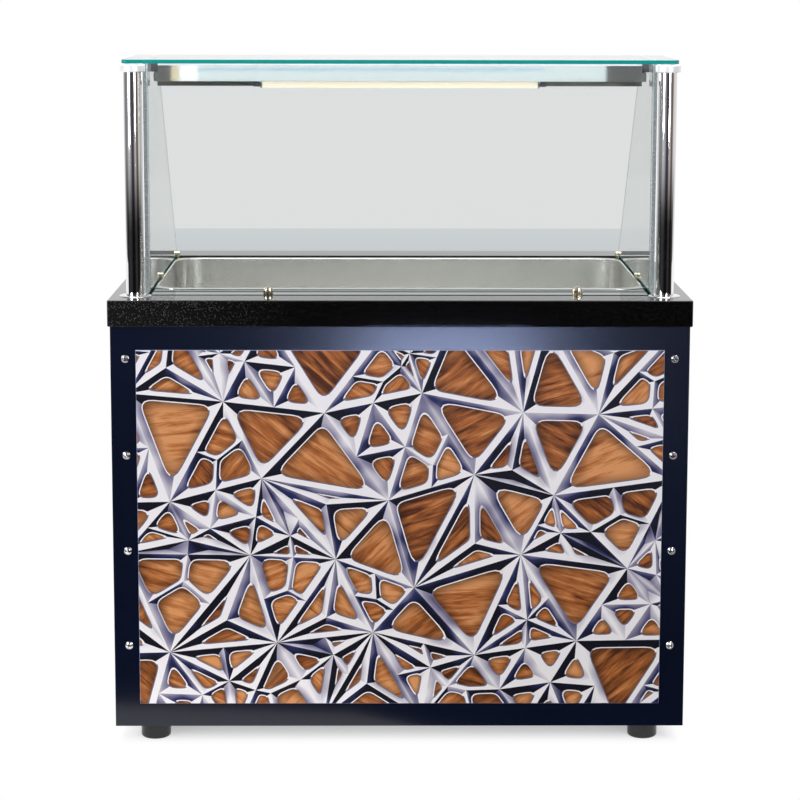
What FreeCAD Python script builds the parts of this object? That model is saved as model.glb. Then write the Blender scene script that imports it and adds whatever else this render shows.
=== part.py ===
import FreeCAD
import Part

import math
import os
from FreeCAD import Vector as V

# Bain marie counter: a heated well in a stone worktop, under a glass gantry, on a steel cabinet.
# Millimetres, +Z up, origin on the floor under the middle of the worktop.
# Customers stand on the -Y side. The operator's side, with doors and controls, faces +Y.

# Well and worktop: the counter is built round the well
well_width = 1034.0
well_length = 530.0
well_depth = 190.0
well_corner_radius = 60.0
well_floor_radius = 25.0
tank_sheet = 1.2
tank_flange = 22.0
cutout_clearance = 4.0
well_side_margin = 83.0
well_front_margin = 194.0
well_rear_margin = 66.0
worktop_thickness = 55.0
worktop_height = 950.0
worktop_edge_radius = 3.0

# Cabinet of box tube and folded sheet
side_overhang = 5.0
front_overhang = 7.0
rear_overhang = 35.5
panel_sheet = 1.5
tube_side = 30.0
tube_wall = 2.0
front_upright_width = 40.0
rear_rail_width = 20.0
fascia_gap = 0.5
tray_gap = 0.5

# Printed panel and the screws of the front
print_thickness = 3.0
print_side_margin = 52.0
print_top_margin = 48.5
print_bottom_margin = 49.5
screw_edge_distance = 30.5
screw_first_drop = 67.0
screw_pitch = 202.0
screw_rows = 4
screw_head_radius = 8.0
screw_head_height = 4.0
screw_shank_radius = 2.5
screw_shank_length = 12.0

# Fits
hole_clearance = 0.2
running_clearance = 0.05
seat_gap = 0.3
overcut = 1.0
touching = 1e-6

# Levelling feet
foot_height = 48.0
foot_radius = 31.5
foot_edge_radius = 6.0
foot_top_radius = 2.0
foot_side_inset = 81.0
foot_front_inset = 93.0
foot_rear_inset = 105.0
foot_rail_width = 50.0
foot_stud_radius = 6.0
foot_stud_length = 24.0
foot_nut_radius = 11.0
foot_nut_height = 10.0

# Heating under the well
heater_radius = 4.0
heater_gap = 0.2
heater_bend_radius = 40.0
heater_runs = 4
heater_end_margin = 110.0
heater_side_margin = 70.0
insulation_thickness = 15.0
shield_sheet = 1.0
shield_margin = 45.0
service_bay_height = 63.0

# Drain of the well
drain_side_inset = 77.0
drain_rear_inset = 79.0
drain_radius = 20.0
strainer_flange_radius = 28.0
strainer_flange_height = 2.0
strainer_bore_radius = 15.0
strainer_tail_length = 26.0
strainer_hole_radius = 2.5
strainer_hole_circle = 9.0
strainer_hole_count = 6
pipe_radius = 13.5
pipe_wall = 2.5
pipe_drop = 70.0
socket_wall = 5.0
socket_height = 22.0
valve_body_radius = 22.0
valve_body_height = 60.0
valve_ball_radius = 14.0
valve_port_radius = 9.0
valve_boss_radius = 9.0
valve_boss_reach = 30.0
valve_stem_radius = 4.0
valve_stem_reach = 37.0
spigot_radius = 10.5
spigot_wall = 2.5
spigot_length = 34.0
hose_hole_radius = 30.0
lever_length = 95.0
lever_width = 12.0
lever_thickness = 3.0
lever_hub_radius = 9.0
lever_grip_length = 58.0
lever_grip_width = 16.0
lever_grip_thickness = 7.0

# Controls on the rear fascia, measured from the fascia's left end and its lower edge
control_height = 61.0
thermostat_inset = 105.0
lamp_switch_inset = 175.0
power_switch_inset = 222.0
pilot_inset = 265.0
thermostat_width = 44.0
thermostat_depth = 36.0
bushing_radius = 6.0
bushing_reach = 4.0
spindle_radius = 3.0
spindle_reach = 18.0
spindle_depth = 20.0
knob_gap = 0.5
knob_skirt_radius = 23.0
knob_skirt_height = 4.0
knob_grip_radius = 17.0
knob_height = 21.0
knob_ridge_width = 7.0
knob_ridge_height = 3.0
knob_edge_radius = 1.5
switch_body_width = 21.6
switch_body_height = 29.6
switch_body_depth = 25.0
switch_bezel_rim = 2.2
switch_bezel_height = 2.0
rocker_width = 16.4
rocker_height = 23.4
rocker_side_gap = 0.4
rocker_end_gap = 1.0
rocker_crown = 4.2
rocker_valley = 2.2
rocker_pivot_depth = 1.5
rocker_heel = 5.0
rocker_tilt = 8.0
rocker_pin_radius = 1.5
rocker_pin_length = 1.5
pilot_lens_radius = 7.5
pilot_lens_height = 5.0
pilot_stem_radius = 5.8
pilot_stem_length = 24.0
terminal_box_width = 140.0
terminal_box_depth = 90.0
terminal_box_height = 46.0
terminal_box_inset = 120.0
terminal_box_setback = 126.0
terminal_box_edge = 4.0
gland_side_inset = 125.0
gland_rear_inset = 55.0
gland_radius = 8.0
gland_bore_radius = 5.0
gland_nut_radius = 13.0
gland_nut_height = 8.0
gland_dome_height = 16.0

# Doors on the operator's side
door_thickness = 18.0
door_recess = 4.5
door_side_gap = 5.0
door_centre_gap = 3.0
door_edge_radius = 1.5
door_sheet = 1.2
liner_gap = 0.3
bush_block = 22.0
pivot_plate = 3.0
pivot_plate_width = 26.0
pivot_gap = 0.5
pivot_radius = 4.0
pivot_length = 12.0
catch_width = 40.0
catch_depth = 20.0
catch_height = 26.0
catch_overlap = 14.0
catch_offset = 60.0
handle_offset = 55.0
handle_span = 160.0
handle_reach = 28.0
handle_radius = 5.0
handle_bend = 12.0
handle_drop = 60.0

# Glass gantry on two posts
gantry_height = 480.0
post_side_inset = 51.5
post_front_inset = 72.5
post_radius = 19.0
post_wall = 1.5
flange_radius = 33.0
flange_height = 3.0
flange_edge = 1.0
collar_radius = 26.0
collar_height = 15.0
collar_edge = 1.5
pad_radius = 15.0
pad_thickness = 3.0
rod_radius = 6.0
rod_tail = 24.0
rod_grip = 9.0
washer_radius = 13.0
washer_thickness = 2.5
nut_radius = 10.5
nut_height = 10.0
pane_thickness = 8.0
pane_post_gap = 1.0
pane_floor_gap = 3.0
pane_rear_inset = 20.0
front_glass_inset = 12.5
top_glass_thickness = 8.0
top_glass_side_inset = 31.5
top_glass_front_inset = 43.0
top_glass_length = 310.0
top_glass_corner = 12.0
top_glass_edge = 2.0

# Glass clamps
clamp_width = 20.0
clamp_spread = 17.0
clamp_height = 15.0
clamp_slot_gap = 0.1
clamp_screw_radius = 3.5
clamp_screw_height = 1.2
front_clamp_left = 275.0
front_clamp_right = 371.0
side_clamp_front_inset = 347.0
side_clamp_rear_inset = 32.0

# Lamp under the top glass
lamp_end_gap = 7.5
lamp_glass_gap = 50.0
lamp_depth = 82.0
lamp_sheet = 1.5
lamp_bend = 6.0
lamp_top_gap = 2.0
lamp_front_skirt = 39.0
lamp_rear_skirt = 54.0
bracket_height = 20.0
bracket_depth = 40.0
bracket_overlap = 9.0
bracket_gap = 0.3
tube_radius = 13.0
tube_length = 590.0
tube_drop = 44.0
tube_pin_radius = 1.2
tube_pin_length = 6.0
tube_pin_spread = 6.35
holder_width = 12.0
holder_depth = 28.0
holder_below = 9.0

# Places worked out from the sizes above
worktop_half = well_width / 2 + well_side_margin
worktop_depth = well_front_margin + well_length + well_rear_margin
worktop_front = -worktop_depth / 2
worktop_rear = worktop_depth / 2
worktop_bottom = worktop_height - worktop_thickness
well_half = well_width / 2
well_front = worktop_front + well_front_margin
well_rear = well_front + well_length
tank_top = worktop_height + tank_sheet
well_floor = tank_top - well_depth
tank_bottom = well_floor - tank_sheet

body_half = worktop_half - side_overhang
body_front = worktop_front + front_overhang
body_rear = worktop_rear - rear_overhang
inner_half = body_half - panel_sheet
inner_front = body_front + panel_sheet
inner_rear = body_rear - panel_sheet
base_top = foot_height + tube_side
floor_top = base_top + panel_sheet
top_frame_bottom = worktop_bottom - tube_side
tube_inner = inner_half - tube_side
rear_rail_front = inner_rear - rear_rail_width

heater_level = tank_bottom - heater_gap - heater_radius
insulation_top = heater_level - heater_radius - heater_gap
insulation_bottom = insulation_top - insulation_thickness
shield_bottom = insulation_bottom - shield_sheet
tray_top = shield_bottom - service_bay_height
tray_bottom = tray_top - panel_sheet
mid_rail_bottom = tray_bottom - tube_side
foot_x = worktop_half - foot_side_inset
foot_rows = (("front", worktop_front + foot_front_inset), ("rear", worktop_rear - foot_rear_inset))
drain_x = well_half - drain_side_inset
drain_y = well_rear - drain_rear_inset
pipe_top = tank_bottom - strainer_tail_length
valve_top = tray_bottom - pipe_drop
valve_level = valve_top - valve_body_height / 2

fascia_half = tube_inner - fascia_gap
control_level = mid_rail_bottom + control_height
thermostat_x = thermostat_inset - fascia_half
lamp_switch_x = lamp_switch_inset - fascia_half
power_switch_x = power_switch_inset - fascia_half
pilot_x = pilot_inset - fascia_half
rocker_pivot_y = body_rear + switch_bezel_height - rocker_pivot_depth

door_outer = body_rear - door_recess
door_inner = door_outer - door_thickness
door_bottom = floor_top + pivot_plate + pivot_gap
door_top = mid_rail_bottom - pivot_plate - pivot_gap
door_edge = tube_inner - door_side_gap
pivot_x = door_edge - door_thickness / 2
pivot_y = door_inner + door_thickness / 2

glass_under = worktop_height + gantry_height
post_x = worktop_half - post_side_inset
post_y = worktop_front + post_front_inset
post_foot = worktop_height + flange_height
collar_top = glass_under - pad_thickness
collar_bottom = collar_top - collar_height
pane_outer = post_x - post_radius
pane_inner = pane_outer - pane_thickness
pane_front = post_y + post_radius + pane_post_gap
pane_bottom = worktop_height + pane_floor_gap
pane_middle = (pane_inner + pane_outer) / 2
front_glass_face = pane_front + front_glass_inset
front_glass_back = front_glass_face + pane_thickness
front_glass_middle = (front_glass_face + front_glass_back) / 2
top_glass_half = worktop_half - top_glass_side_inset
top_glass_front = worktop_front + top_glass_front_inset
top_glass_rear = top_glass_front + top_glass_length

lamp_half = pane_inner - lamp_end_gap
lamp_front = front_glass_back + lamp_glass_gap
lamp_rear = lamp_front + lamp_depth
lamp_top = glass_under - lamp_top_gap
lamp_middle = (lamp_front + lamp_rear) / 2
tube_level = glass_under - tube_drop

SIDES = (("left", -1), ("right", 1))
SIGNS = (-1, 1)
UP = V(0, 0, 1)
REARWARD = V(0, 1, 0)


def save(node, *solids):
    """Writes one node, a single solid or a group of like solids."""
    shape = solids[0] if len(solids) == 1 else Part.makeCompound(list(solids))
    shape.exportStep(os.path.join("parts", node + ".step"))


def block(x_pair, y_pair, z_pair):
    """Box between two places along each axis, given in either order."""
    x0, x1 = sorted(x_pair)
    y0, y1 = sorted(y_pair)
    z0, z1 = sorted(z_pair)
    return Part.makeBox(x1 - x0, y1 - y0, z1 - z0, V(x0, y0, z0))


def rod(radius, base, tip):
    """Round bar between two points."""
    line = tip - base
    return Part.makeCylinder(radius, line.Length, base, line)


def upright_edges(shape):
    """Edges of a block that run along Z."""
    return [edge for edge in shape.Edges if edge.BoundBox.ZLength > touching
            and edge.BoundBox.XLength < touching and edge.BoundBox.YLength < touching]


def edges_at(shape, level):
    """Edges that lie in the level plane at the given height."""
    return [edge for edge in shape.Edges if abs(edge.BoundBox.ZMin - level) < touching
            and abs(edge.BoundBox.ZMax - level) < touching]


def far_edges(shape):
    """Edges that lie in the rearmost plane of a shape."""
    limit = shape.BoundBox.YMax - touching
    return [edge for edge in shape.Edges if edge.BoundBox.YMin > limit]


def rounded_block(half, y_pair, z_pair, radius):
    """Block centred on X whose four upright edges are rounded."""
    shape = block((-half, half), y_pair, z_pair)
    return shape.makeFillet(radius, upright_edges(shape))


def box_tube(x_pair, y_pair, z_pair, along):
    """Box section with open ends that runs along one axis."""
    outer = [sorted(x_pair), sorted(y_pair), sorted(z_pair)]
    inner = [(low + tube_wall, high - tube_wall) for low, high in outer]
    inner["XYZ".index(along)] = outer["XYZ".index(along)]
    return block(*outer).cut(block(*inner))


def turned(profile, centre, axis):
    """Solid turned from (radius, height) points about an axis through the centre."""
    points = [V(radius, 0, height) for radius, height in profile]
    face = Part.Face(Part.makePolygon(points + points[:1]))
    solid = face.revolve(V(0, 0, 0), UP, 360)
    solid.Placement = FreeCAD.Placement(centre, FreeCAD.Rotation(UP, axis))
    return solid


def extruded(points, length):
    """Solid from a flat polygon and the vector it is drawn along."""
    return Part.Face(Part.makePolygon(points + points[:1])).extrude(length)


def swept(path, radius):
    """Round bar bent along straight runs and tangent arcs."""
    wire = Part.Wire(path)
    start = path[0]
    first = start.FirstParameter
    ring = Part.makeCircle(radius, start.valueAt(first), start.tangentAt(first))
    return wire.makePipeShell([Part.Wire(ring)], True, True)


def feet():
    """Round plastic feet on threaded studs, screwed into nuts in the base rails."""
    for end, y in foot_rows:
        for side, sign in SIDES:
            top = foot_height - seat_gap
            barrel = Part.makeCylinder(foot_radius, top)
            barrel = barrel.makeFillet(foot_edge_radius, edges_at(barrel, 0)[:1])
            barrel = barrel.makeFillet(foot_top_radius, edges_at(barrel, top)[:1])
            stud = rod(foot_stud_radius, V(0, 0, top - overcut), V(0, 0, top + foot_stud_length))
            foot = barrel.fuse(stud)
            foot.translate(V(sign * foot_x, y, 0))
            save(end + "_" + side + "_foot", foot)


def base_frame():
    """Welded base of box tube, with two foot rails that hold the foot nuts."""
    level = (foot_height, base_top)
    front = (inner_front, inner_front + tube_side)
    rear = (inner_rear - tube_side, inner_rear)
    between = (front[1], rear[0])
    tubes = [box_tube((-inner_half, inner_half), y_pair, level, "X") for y_pair in (front, rear)]
    for sign in SIGNS:
        tubes.append(box_tube((sign * tube_inner, sign * inner_half), between, level, "Y"))
        rail_x = sign * foot_x
        half_rail = foot_rail_width / 2
        rail = box_tube((rail_x - half_rail, rail_x + half_rail), between, level, "Y")
        nut_bottom = foot_height + tube_wall
        nut_top = nut_bottom + foot_nut_height
        for _, y in foot_rows:
            rail = rail.fuse(rod(foot_nut_radius, V(rail_x, y, nut_bottom), V(rail_x, y, nut_top)))
            rail = rail.cut(rod(foot_stud_radius + running_clearance, V(rail_x, y, foot_height - overcut),
                                V(rail_x, y, nut_top + overcut)))
        tubes.append(rail)
    save("base_frame", *tubes)


def frame_uprights():
    """Four corner tubes between the cupboard floor and the top frame."""
    tubes = []
    height = (floor_top, top_frame_bottom)
    for sign in SIGNS:
        front_x = (sign * (inner_half - front_upright_width), sign * inner_half)
        tube = box_tube(front_x, (inner_front, inner_front + tube_side), height, "Z")
        for hole in screw_holes(sign):
            tube = tube.cut(hole)
        tubes.append(tube)
        rear_x = (sign * tube_inner, sign * inner_half)
        tubes.append(box_tube(rear_x, (body_rear - tube_side, body_rear), height, "Z"))
    save("frame_uprights", *tubes)


def top_frame():
    """Four tubes that the worktop lies on."""
    level = (top_frame_bottom, worktop_bottom)
    front = (inner_front, inner_front + tube_side)
    rear = (rear_rail_front, inner_rear)
    tubes = [box_tube((-inner_half, inner_half), y_pair, level, "X") for y_pair in (front, rear)]
    for sign in SIGNS:
        tubes.append(box_tube((sign * tube_inner, sign * inner_half), (front[1], rear[0]), level, "Y"))
    save("top_frame", *tubes)


def rear_mid_rail():
    """Tube over the doors, which carries their upper pivots and the service tray."""
    level = (mid_rail_bottom, tray_bottom)
    save("rear_mid_rail", box_tube((-tube_inner, tube_inner), (rear_rail_front, inner_rear), level, "X"))


def screw_places(sign):
    """Centres of one side's column of front screws, on the face of the front panel."""
    x = sign * (body_half - screw_edge_distance)
    first = worktop_bottom - screw_first_drop
    return [V(x, body_front, first - row * screw_pitch) for row in range(screw_rows)]


def screw_holes(sign):
    """Clearance holes for one side's front screws."""
    radius = screw_shank_radius + hole_clearance
    depth = panel_sheet + tube_wall + overcut
    return [rod(radius, place - REARWARD * overcut, place + REARWARD * depth)
            for place in screw_places(sign)]


def cabinet_panels():
    """Painted front and side sheets, the cupboard floor with its cable and hose holes, the service tray."""
    height = (foot_height, worktop_bottom)
    front = block((-body_half, body_half), (body_front, inner_front), height)
    for sign in SIGNS:
        for hole in screw_holes(sign):
            front = front.cut(hole)
    save("front_panel", front)
    for side, sign in SIDES:
        panel = block((sign * inner_half, sign * body_half), (inner_front, body_rear), height)
        save(side + "_side_panel", panel)

    floor = block((-inner_half, inner_half), (inner_front, inner_rear), (base_top, floor_top))
    gland_x, gland_y = gland_place()
    floor = floor.cut(rod(gland_radius + hole_clearance, V(gland_x, gland_y, base_top - overcut),
                          V(gland_x, gland_y, floor_top + overcut)))
    floor = floor.cut(rod(hose_hole_radius, V(drain_x, drain_y, base_top - overcut),
                          V(drain_x, drain_y, floor_top + overcut)))
    save("cupboard_floor", floor)

    level = (tray_bottom, tray_top)
    tray = block((-inner_half, inner_half), (inner_front, inner_rear), level)
    front_y = (inner_front, inner_front + tube_side + tray_gap)
    rear_y = (body_rear - tube_side - tray_gap, inner_rear)
    for sign in SIGNS:
        front_x = (sign * (inner_half - front_upright_width - tray_gap), sign * inner_half)
        rear_x = (sign * (tube_inner - tray_gap), sign * inner_half)
        tray = tray.cut(block(front_x, front_y, level)).cut(block(rear_x, rear_y, level))
    pipe_hole = rod(pipe_radius + 2 * seat_gap, V(drain_x, drain_y, tray_bottom - overcut),
                    V(drain_x, drain_y, tray_top + overcut))
    save("service_tray", tray.cut(pipe_hole))


def front_dressing():
    """Printed panel bonded to the front sheet, and the dome screws beside it."""
    half = body_half - print_side_margin
    level = (foot_height + print_bottom_margin, worktop_bottom - print_top_margin)
    save("print_panel", block((-half, half), (body_front - print_thickness, body_front), level))

    screws = []
    dome_radius = (screw_head_radius ** 2 + screw_head_height ** 2) / (2 * screw_head_height)
    for sign in SIGNS:
        for place in screw_places(sign):
            ball = Part.makeSphere(dome_radius, place + REARWARD * (dome_radius - screw_head_height))
            head = ball.common(rod(screw_head_radius, place - REARWARD * screw_head_height, place))
            shank = rod(screw_shank_radius, place - REARWARD * overcut,
                        place + REARWARD * screw_shank_length)
            screws.append(head.fuse(shank))
    save("panel_screws", *screws)


def worktop():
    """Polished stone slab with a rounded cut-out for the well and a hole under each post."""
    slab = block((-worktop_half, worktop_half), (worktop_front, worktop_rear),
                 (worktop_bottom, worktop_height))
    slab = slab.makeFillet(worktop_edge_radius, slab.Edges)
    grow = tank_sheet + cutout_clearance
    cutout = rounded_block(well_half + grow, (well_front - grow, well_rear + grow),
                           (worktop_bottom - overcut, worktop_height + overcut), well_corner_radius + grow)
    slab = slab.cut(cutout)
    for sign in SIGNS:
        hole = rod(rod_radius + hole_clearance, V(sign * post_x, post_y, worktop_bottom - overcut),
                   V(sign * post_x, post_y, worktop_height + overcut))
        slab = slab.cut(hole)
    save("worktop", slab)


def tank_form(grow, floor, top):
    """Well shape grown by a wall, with rounded corners and a coved floor."""
    shape = rounded_block(well_half + grow, (well_front - grow, well_rear + grow), (floor, top),
                          well_corner_radius + grow)
    return shape.makeFillet(well_floor_radius + grow, edges_at(shape, floor))


def well_tank():
    """Pressed stainless tank that hangs by its flange in the worktop."""
    shell = tank_form(tank_sheet, tank_bottom, tank_top)
    flange = rounded_block(well_half + tank_flange, (well_front - tank_flange, well_rear + tank_flange),
                           (worktop_height, tank_top), well_corner_radius + tank_flange)
    tank = shell.fuse(flange).cut(tank_form(0, well_floor, tank_top + well_floor_radius))
    tank = tank.cut(rod(drain_radius, V(drain_x, drain_y, tank_bottom - overcut),
                        V(drain_x, drain_y, well_floor + overcut)))
    save("well_tank", tank.removeSplitter())


def heater_path(x_start, x_end, y_start):
    """Serpentine of straight runs joined by half turns, level under the tank."""
    path = []
    step = 2 * heater_bend_radius
    ends = [x_start, x_end]
    for run in range(heater_runs):
        y = y_start + run * step
        near, far = ends if run % 2 == 0 else ends[::-1]
        path.append(Part.makeLine(V(near, y, heater_level), V(far, y, heater_level)))
        if run + 1 < heater_runs:
            bulge = heater_bend_radius if far > near else -heater_bend_radius
            arc = Part.Arc(V(far, y, heater_level), V(far + bulge, y + heater_bend_radius, heater_level),
                           V(far, y + step, heater_level))
            path.append(arc.toShape())
    return path


def heating():
    """Two sheathed heating elements, the insulation under them and the tray that holds both up."""
    heaters = []
    for sign in SIGNS:
        reach = sorted((sign * heater_side_margin, sign * (well_half - heater_end_margin)))
        y_start = (well_front + well_rear) / 2 - (heater_runs - 1) * heater_bend_radius
        heaters.append(swept(heater_path(reach[0], reach[1], y_start), heater_radius))
    save("heating_elements", *heaters)

    half = well_half - shield_margin
    y_pair = (well_front + shield_margin, drain_y - socket_wall - drain_radius - shield_margin / 2)
    inside = (y_pair[0] + shield_sheet, y_pair[1] - shield_sheet)
    wool = block((shield_sheet - half, half - shield_sheet), inside, (insulation_bottom, insulation_top))
    save("tank_insulation", wool)
    shield = block((-half, half), y_pair, (shield_bottom, tank_bottom))
    save("heat_shield", shield.cut(block((shield_sheet - half, half - shield_sheet), inside,
                                         (insulation_bottom, tank_bottom))))


def drain():
    """Strainer in the tank floor, pipe down to the cupboard, ball valve and hose spigot."""
    centre = V(drain_x, drain_y, 0)
    tail = drain_radius - seat_gap
    flange_top = well_floor + strainer_flange_height
    strainer = rod(strainer_flange_radius, centre + UP * well_floor, centre + UP * flange_top)
    strainer = strainer.fuse(rod(tail, centre + UP * pipe_top, centre + UP * well_floor))
    strainer = strainer.cut(rod(strainer_bore_radius, centre + UP * pipe_top, centre + UP * well_floor))
    turn = 360.0 / strainer_hole_count
    for index in range(strainer_hole_count):
        reach = FreeCAD.Rotation(UP, index * turn).multVec(V(strainer_hole_circle, 0, 0))
        strainer = strainer.cut(rod(strainer_hole_radius, centre + reach + UP * (well_floor - overcut),
                                    centre + reach + UP * (flange_top + overcut)))
    save("drain_strainer", strainer)

    socket_top = pipe_top + socket_height
    socket_radius = drain_radius + socket_wall
    bore = pipe_radius - pipe_wall
    shoulder = pipe_top - socket_wall
    pipe = turned([(bore, valve_top), (pipe_radius, valve_top), (pipe_radius, shoulder),
                   (socket_radius, shoulder), (socket_radius, socket_top), (drain_radius, socket_top),
                   (drain_radius, pipe_top), (bore, pipe_top)], centre, UP)
    save("drain_pipe", pipe)

    heart = centre + UP * valve_level
    valve_bottom = valve_top - valve_body_height
    spigot_end = centre + UP * (valve_bottom - spigot_length)
    stem_end = heart + REARWARD * valve_stem_reach
    valve = rod(valve_body_radius, centre + UP * valve_bottom, centre + UP * valve_top)
    valve = valve.fuse(rod(spigot_radius, spigot_end, centre + UP * valve_bottom))
    valve = valve.fuse(rod(valve_boss_radius, heart, heart + REARWARD * valve_boss_reach))
    valve = valve.cut(Part.makeSphere(valve_ball_radius + seat_gap, heart))
    valve = valve.cut(rod(valve_port_radius, heart, centre + UP * valve_top))
    valve = valve.cut(rod(spigot_radius - spigot_wall, spigot_end, heart))
    valve = valve.cut(rod(valve_stem_radius + running_clearance, heart, stem_end))
    save("drain_valve", valve)

    ball = Part.makeSphere(valve_ball_radius, heart)
    ball = ball.fuse(rod(valve_stem_radius, heart, stem_end))
    half_port = V(valve_ball_radius + overcut, 0, 0)
    save("valve_ball", ball.cut(rod(valve_port_radius, heart - half_port, heart + half_port)))

    hub = heart + REARWARD * (valve_boss_reach + seat_gap)
    lever = rod(lever_hub_radius, hub, hub + REARWARD * lever_thickness)
    flat_y = (hub.y, hub.y + lever_thickness)
    flat_z = (hub.z - lever_width / 2, hub.z + lever_width / 2)
    lever = lever.fuse(block((hub.x - lever_length, hub.x), flat_y, flat_z))
    middle = hub.y + lever_thickness / 2
    grip = block((hub.x - lever_length - lever_thickness, hub.x - lever_length + lever_grip_length),
                 (middle - lever_grip_thickness / 2, middle + lever_grip_thickness / 2),
                 (hub.z - lever_grip_width / 2, hub.z + lever_grip_width / 2))
    lever = lever.fuse(grip.makeFillet(lever_grip_thickness / 3, grip.Edges))
    save("valve_lever", lever.cut(rod(valve_stem_radius + running_clearance, heart, stem_end)))


def switch_pair():
    """Two rocker switches: a housing that snaps into the fascia and a rocker on its own pins."""
    for name, x in (("power", power_switch_x), ("lamp", lamp_switch_x)):
        half_width = switch_body_width / 2
        half_height = switch_body_height / 2
        rim_width = half_width + switch_bezel_rim
        rim_height = half_height + switch_bezel_rim
        bezel = block((x - rim_width, x + rim_width), (body_rear, body_rear + switch_bezel_height),
                      (control_level - rim_height, control_level + rim_height))
        body = block((x - half_width, x + half_width), (body_rear - switch_body_depth, body_rear),
                     (control_level - half_height, control_level + half_height))
        pocket_x = rocker_width / 2 + rocker_side_gap
        pocket_z = rocker_height / 2 + rocker_end_gap
        pocket = block((x - pocket_x, x + pocket_x),
                       (rocker_pivot_y - rocker_heel - rocker_end_gap, body_rear + switch_bezel_height),
                       (control_level - pocket_z, control_level + pocket_z))
        pin_reach = rocker_width / 2 + rocker_pin_length
        pin_ends = [V(x + sign * pin_reach, rocker_pivot_y, control_level) for sign in SIGNS]
        socket = rod(rocker_pin_radius + running_clearance, *pin_ends)
        save(name + "_switch_housing", body.fuse(bezel).cut(pocket).cut(socket))

        half_rocker = rocker_height / 2
        waist = rocker_height / 3
        outline = [(rocker_crown, -half_rocker), (rocker_valley, 0), (rocker_crown, half_rocker),
                   (-rocker_pivot_depth, waist), (-rocker_heel, 0), (-rocker_pivot_depth, -waist)]
        rocker = extruded([V(0, y, z) for y, z in outline], V(rocker_width, 0, 0))
        rocker.translate(V(x - rocker_width / 2, rocker_pivot_y, control_level))
        rocker = rocker.fuse(rod(rocker_pin_radius, *pin_ends))
        rocker.rotate(V(x, rocker_pivot_y, control_level), V(1, 0, 0), rocker_tilt)
        save(name + "_rocker", rocker)


def controls():
    """Rear fascia with the thermostat, its knob, the pilot lamp and the wiring box behind it."""
    level = (mid_rail_bottom, worktop_bottom)
    fascia = block((-fascia_half, fascia_half), (inner_rear, body_rear), level)
    half_width = switch_body_width / 2 + hole_clearance
    half_height = switch_body_height / 2 + hole_clearance
    for x in (power_switch_x, lamp_switch_x):
        fascia = fascia.cut(block((x - half_width, x + half_width), (inner_rear, body_rear),
                                  (control_level - half_height, control_level + half_height)))
    for x, radius in ((thermostat_x, bushing_radius), (pilot_x, pilot_stem_radius)):
        inside = V(x, inner_rear - overcut, control_level)
        outside = V(x, body_rear + overcut, control_level)
        fascia = fascia.cut(rod(radius + hole_clearance, inside, outside))
    save("rear_fascia", fascia)

    axis = V(thermostat_x, 0, control_level)
    half = thermostat_width / 2
    case = block((thermostat_x - half, thermostat_x + half), (inner_rear - thermostat_depth, inner_rear),
                 (control_level - half, control_level + half))
    bushing_end = axis + REARWARD * (body_rear + bushing_reach)
    case = case.fuse(rod(bushing_radius, axis + REARWARD * inner_rear, bushing_end))
    spindle_root = axis + REARWARD * (body_rear - spindle_depth)
    spindle_tip = axis + REARWARD * (body_rear + spindle_reach)
    spindle_hole = spindle_radius + running_clearance
    case = case.cut(rod(spindle_hole, spindle_root - REARWARD * seat_gap, spindle_tip))
    save("thermostat", case)
    save("thermostat_spindle", rod(spindle_radius, spindle_root, spindle_tip))

    back = bushing_end + REARWARD * knob_gap
    knob = rod(knob_skirt_radius, back, back + REARWARD * knob_skirt_height)
    knob = knob.makeFillet(knob_edge_radius, far_edges(knob))
    grip = rod(knob_grip_radius, back, back + REARWARD * knob_height)
    grip = grip.makeFillet(knob_edge_radius, far_edges(grip))
    ridge = block((back.x - knob_ridge_width / 2, back.x + knob_ridge_width / 2),
                  (back.y + knob_skirt_height, back.y + knob_height + knob_ridge_height),
                  (back.z - knob_grip_radius, back.z + knob_grip_radius))
    ridge = ridge.common(rod(knob_grip_radius, back, back + REARWARD * (2 * knob_height)))
    knob = knob.fuse(grip).fuse(ridge)
    save("thermostat_knob", knob.cut(rod(spindle_hole, back, spindle_tip + REARWARD * seat_gap)))

    lens = V(pilot_x, body_rear, control_level)
    stem = rod(pilot_stem_radius, lens - REARWARD * pilot_stem_length, lens + REARWARD * overcut)
    dome = rod(pilot_lens_radius, lens, lens + REARWARD * pilot_lens_height)
    save("pilot_lamp", dome.makeFillet(pilot_lens_height / 2, far_edges(dome)).fuse(stem))

    box_x = terminal_box_inset - fascia_half
    box_y = inner_rear - terminal_box_setback
    box = block((box_x, box_x + terminal_box_width), (box_y - terminal_box_depth, box_y),
                (tray_top, tray_top + terminal_box_height))
    save("terminal_box", box.makeFillet(terminal_box_edge, upright_edges(box)))


def gland_place():
    """Where the mains cable enters, in the cupboard floor beside a foot rail."""
    return gland_side_inset - body_half, body_rear - gland_rear_inset


def cable_gland():
    """Gland body through the floor sheet, its nut inside and its dome below."""
    x, y = gland_place()
    dome_end = base_top - gland_dome_height
    nut_top = floor_top + gland_nut_height
    gland = turned([(gland_bore_radius, dome_end), (gland_radius, dome_end),
                    (gland_nut_radius, base_top - gland_dome_height / 2), (gland_nut_radius, base_top),
                    (gland_radius, base_top), (gland_radius, floor_top), (gland_nut_radius, floor_top),
                    (gland_nut_radius, nut_top), (gland_bore_radius, nut_top)], V(x, y, 0), UP)
    save("cable_gland", gland)


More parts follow.
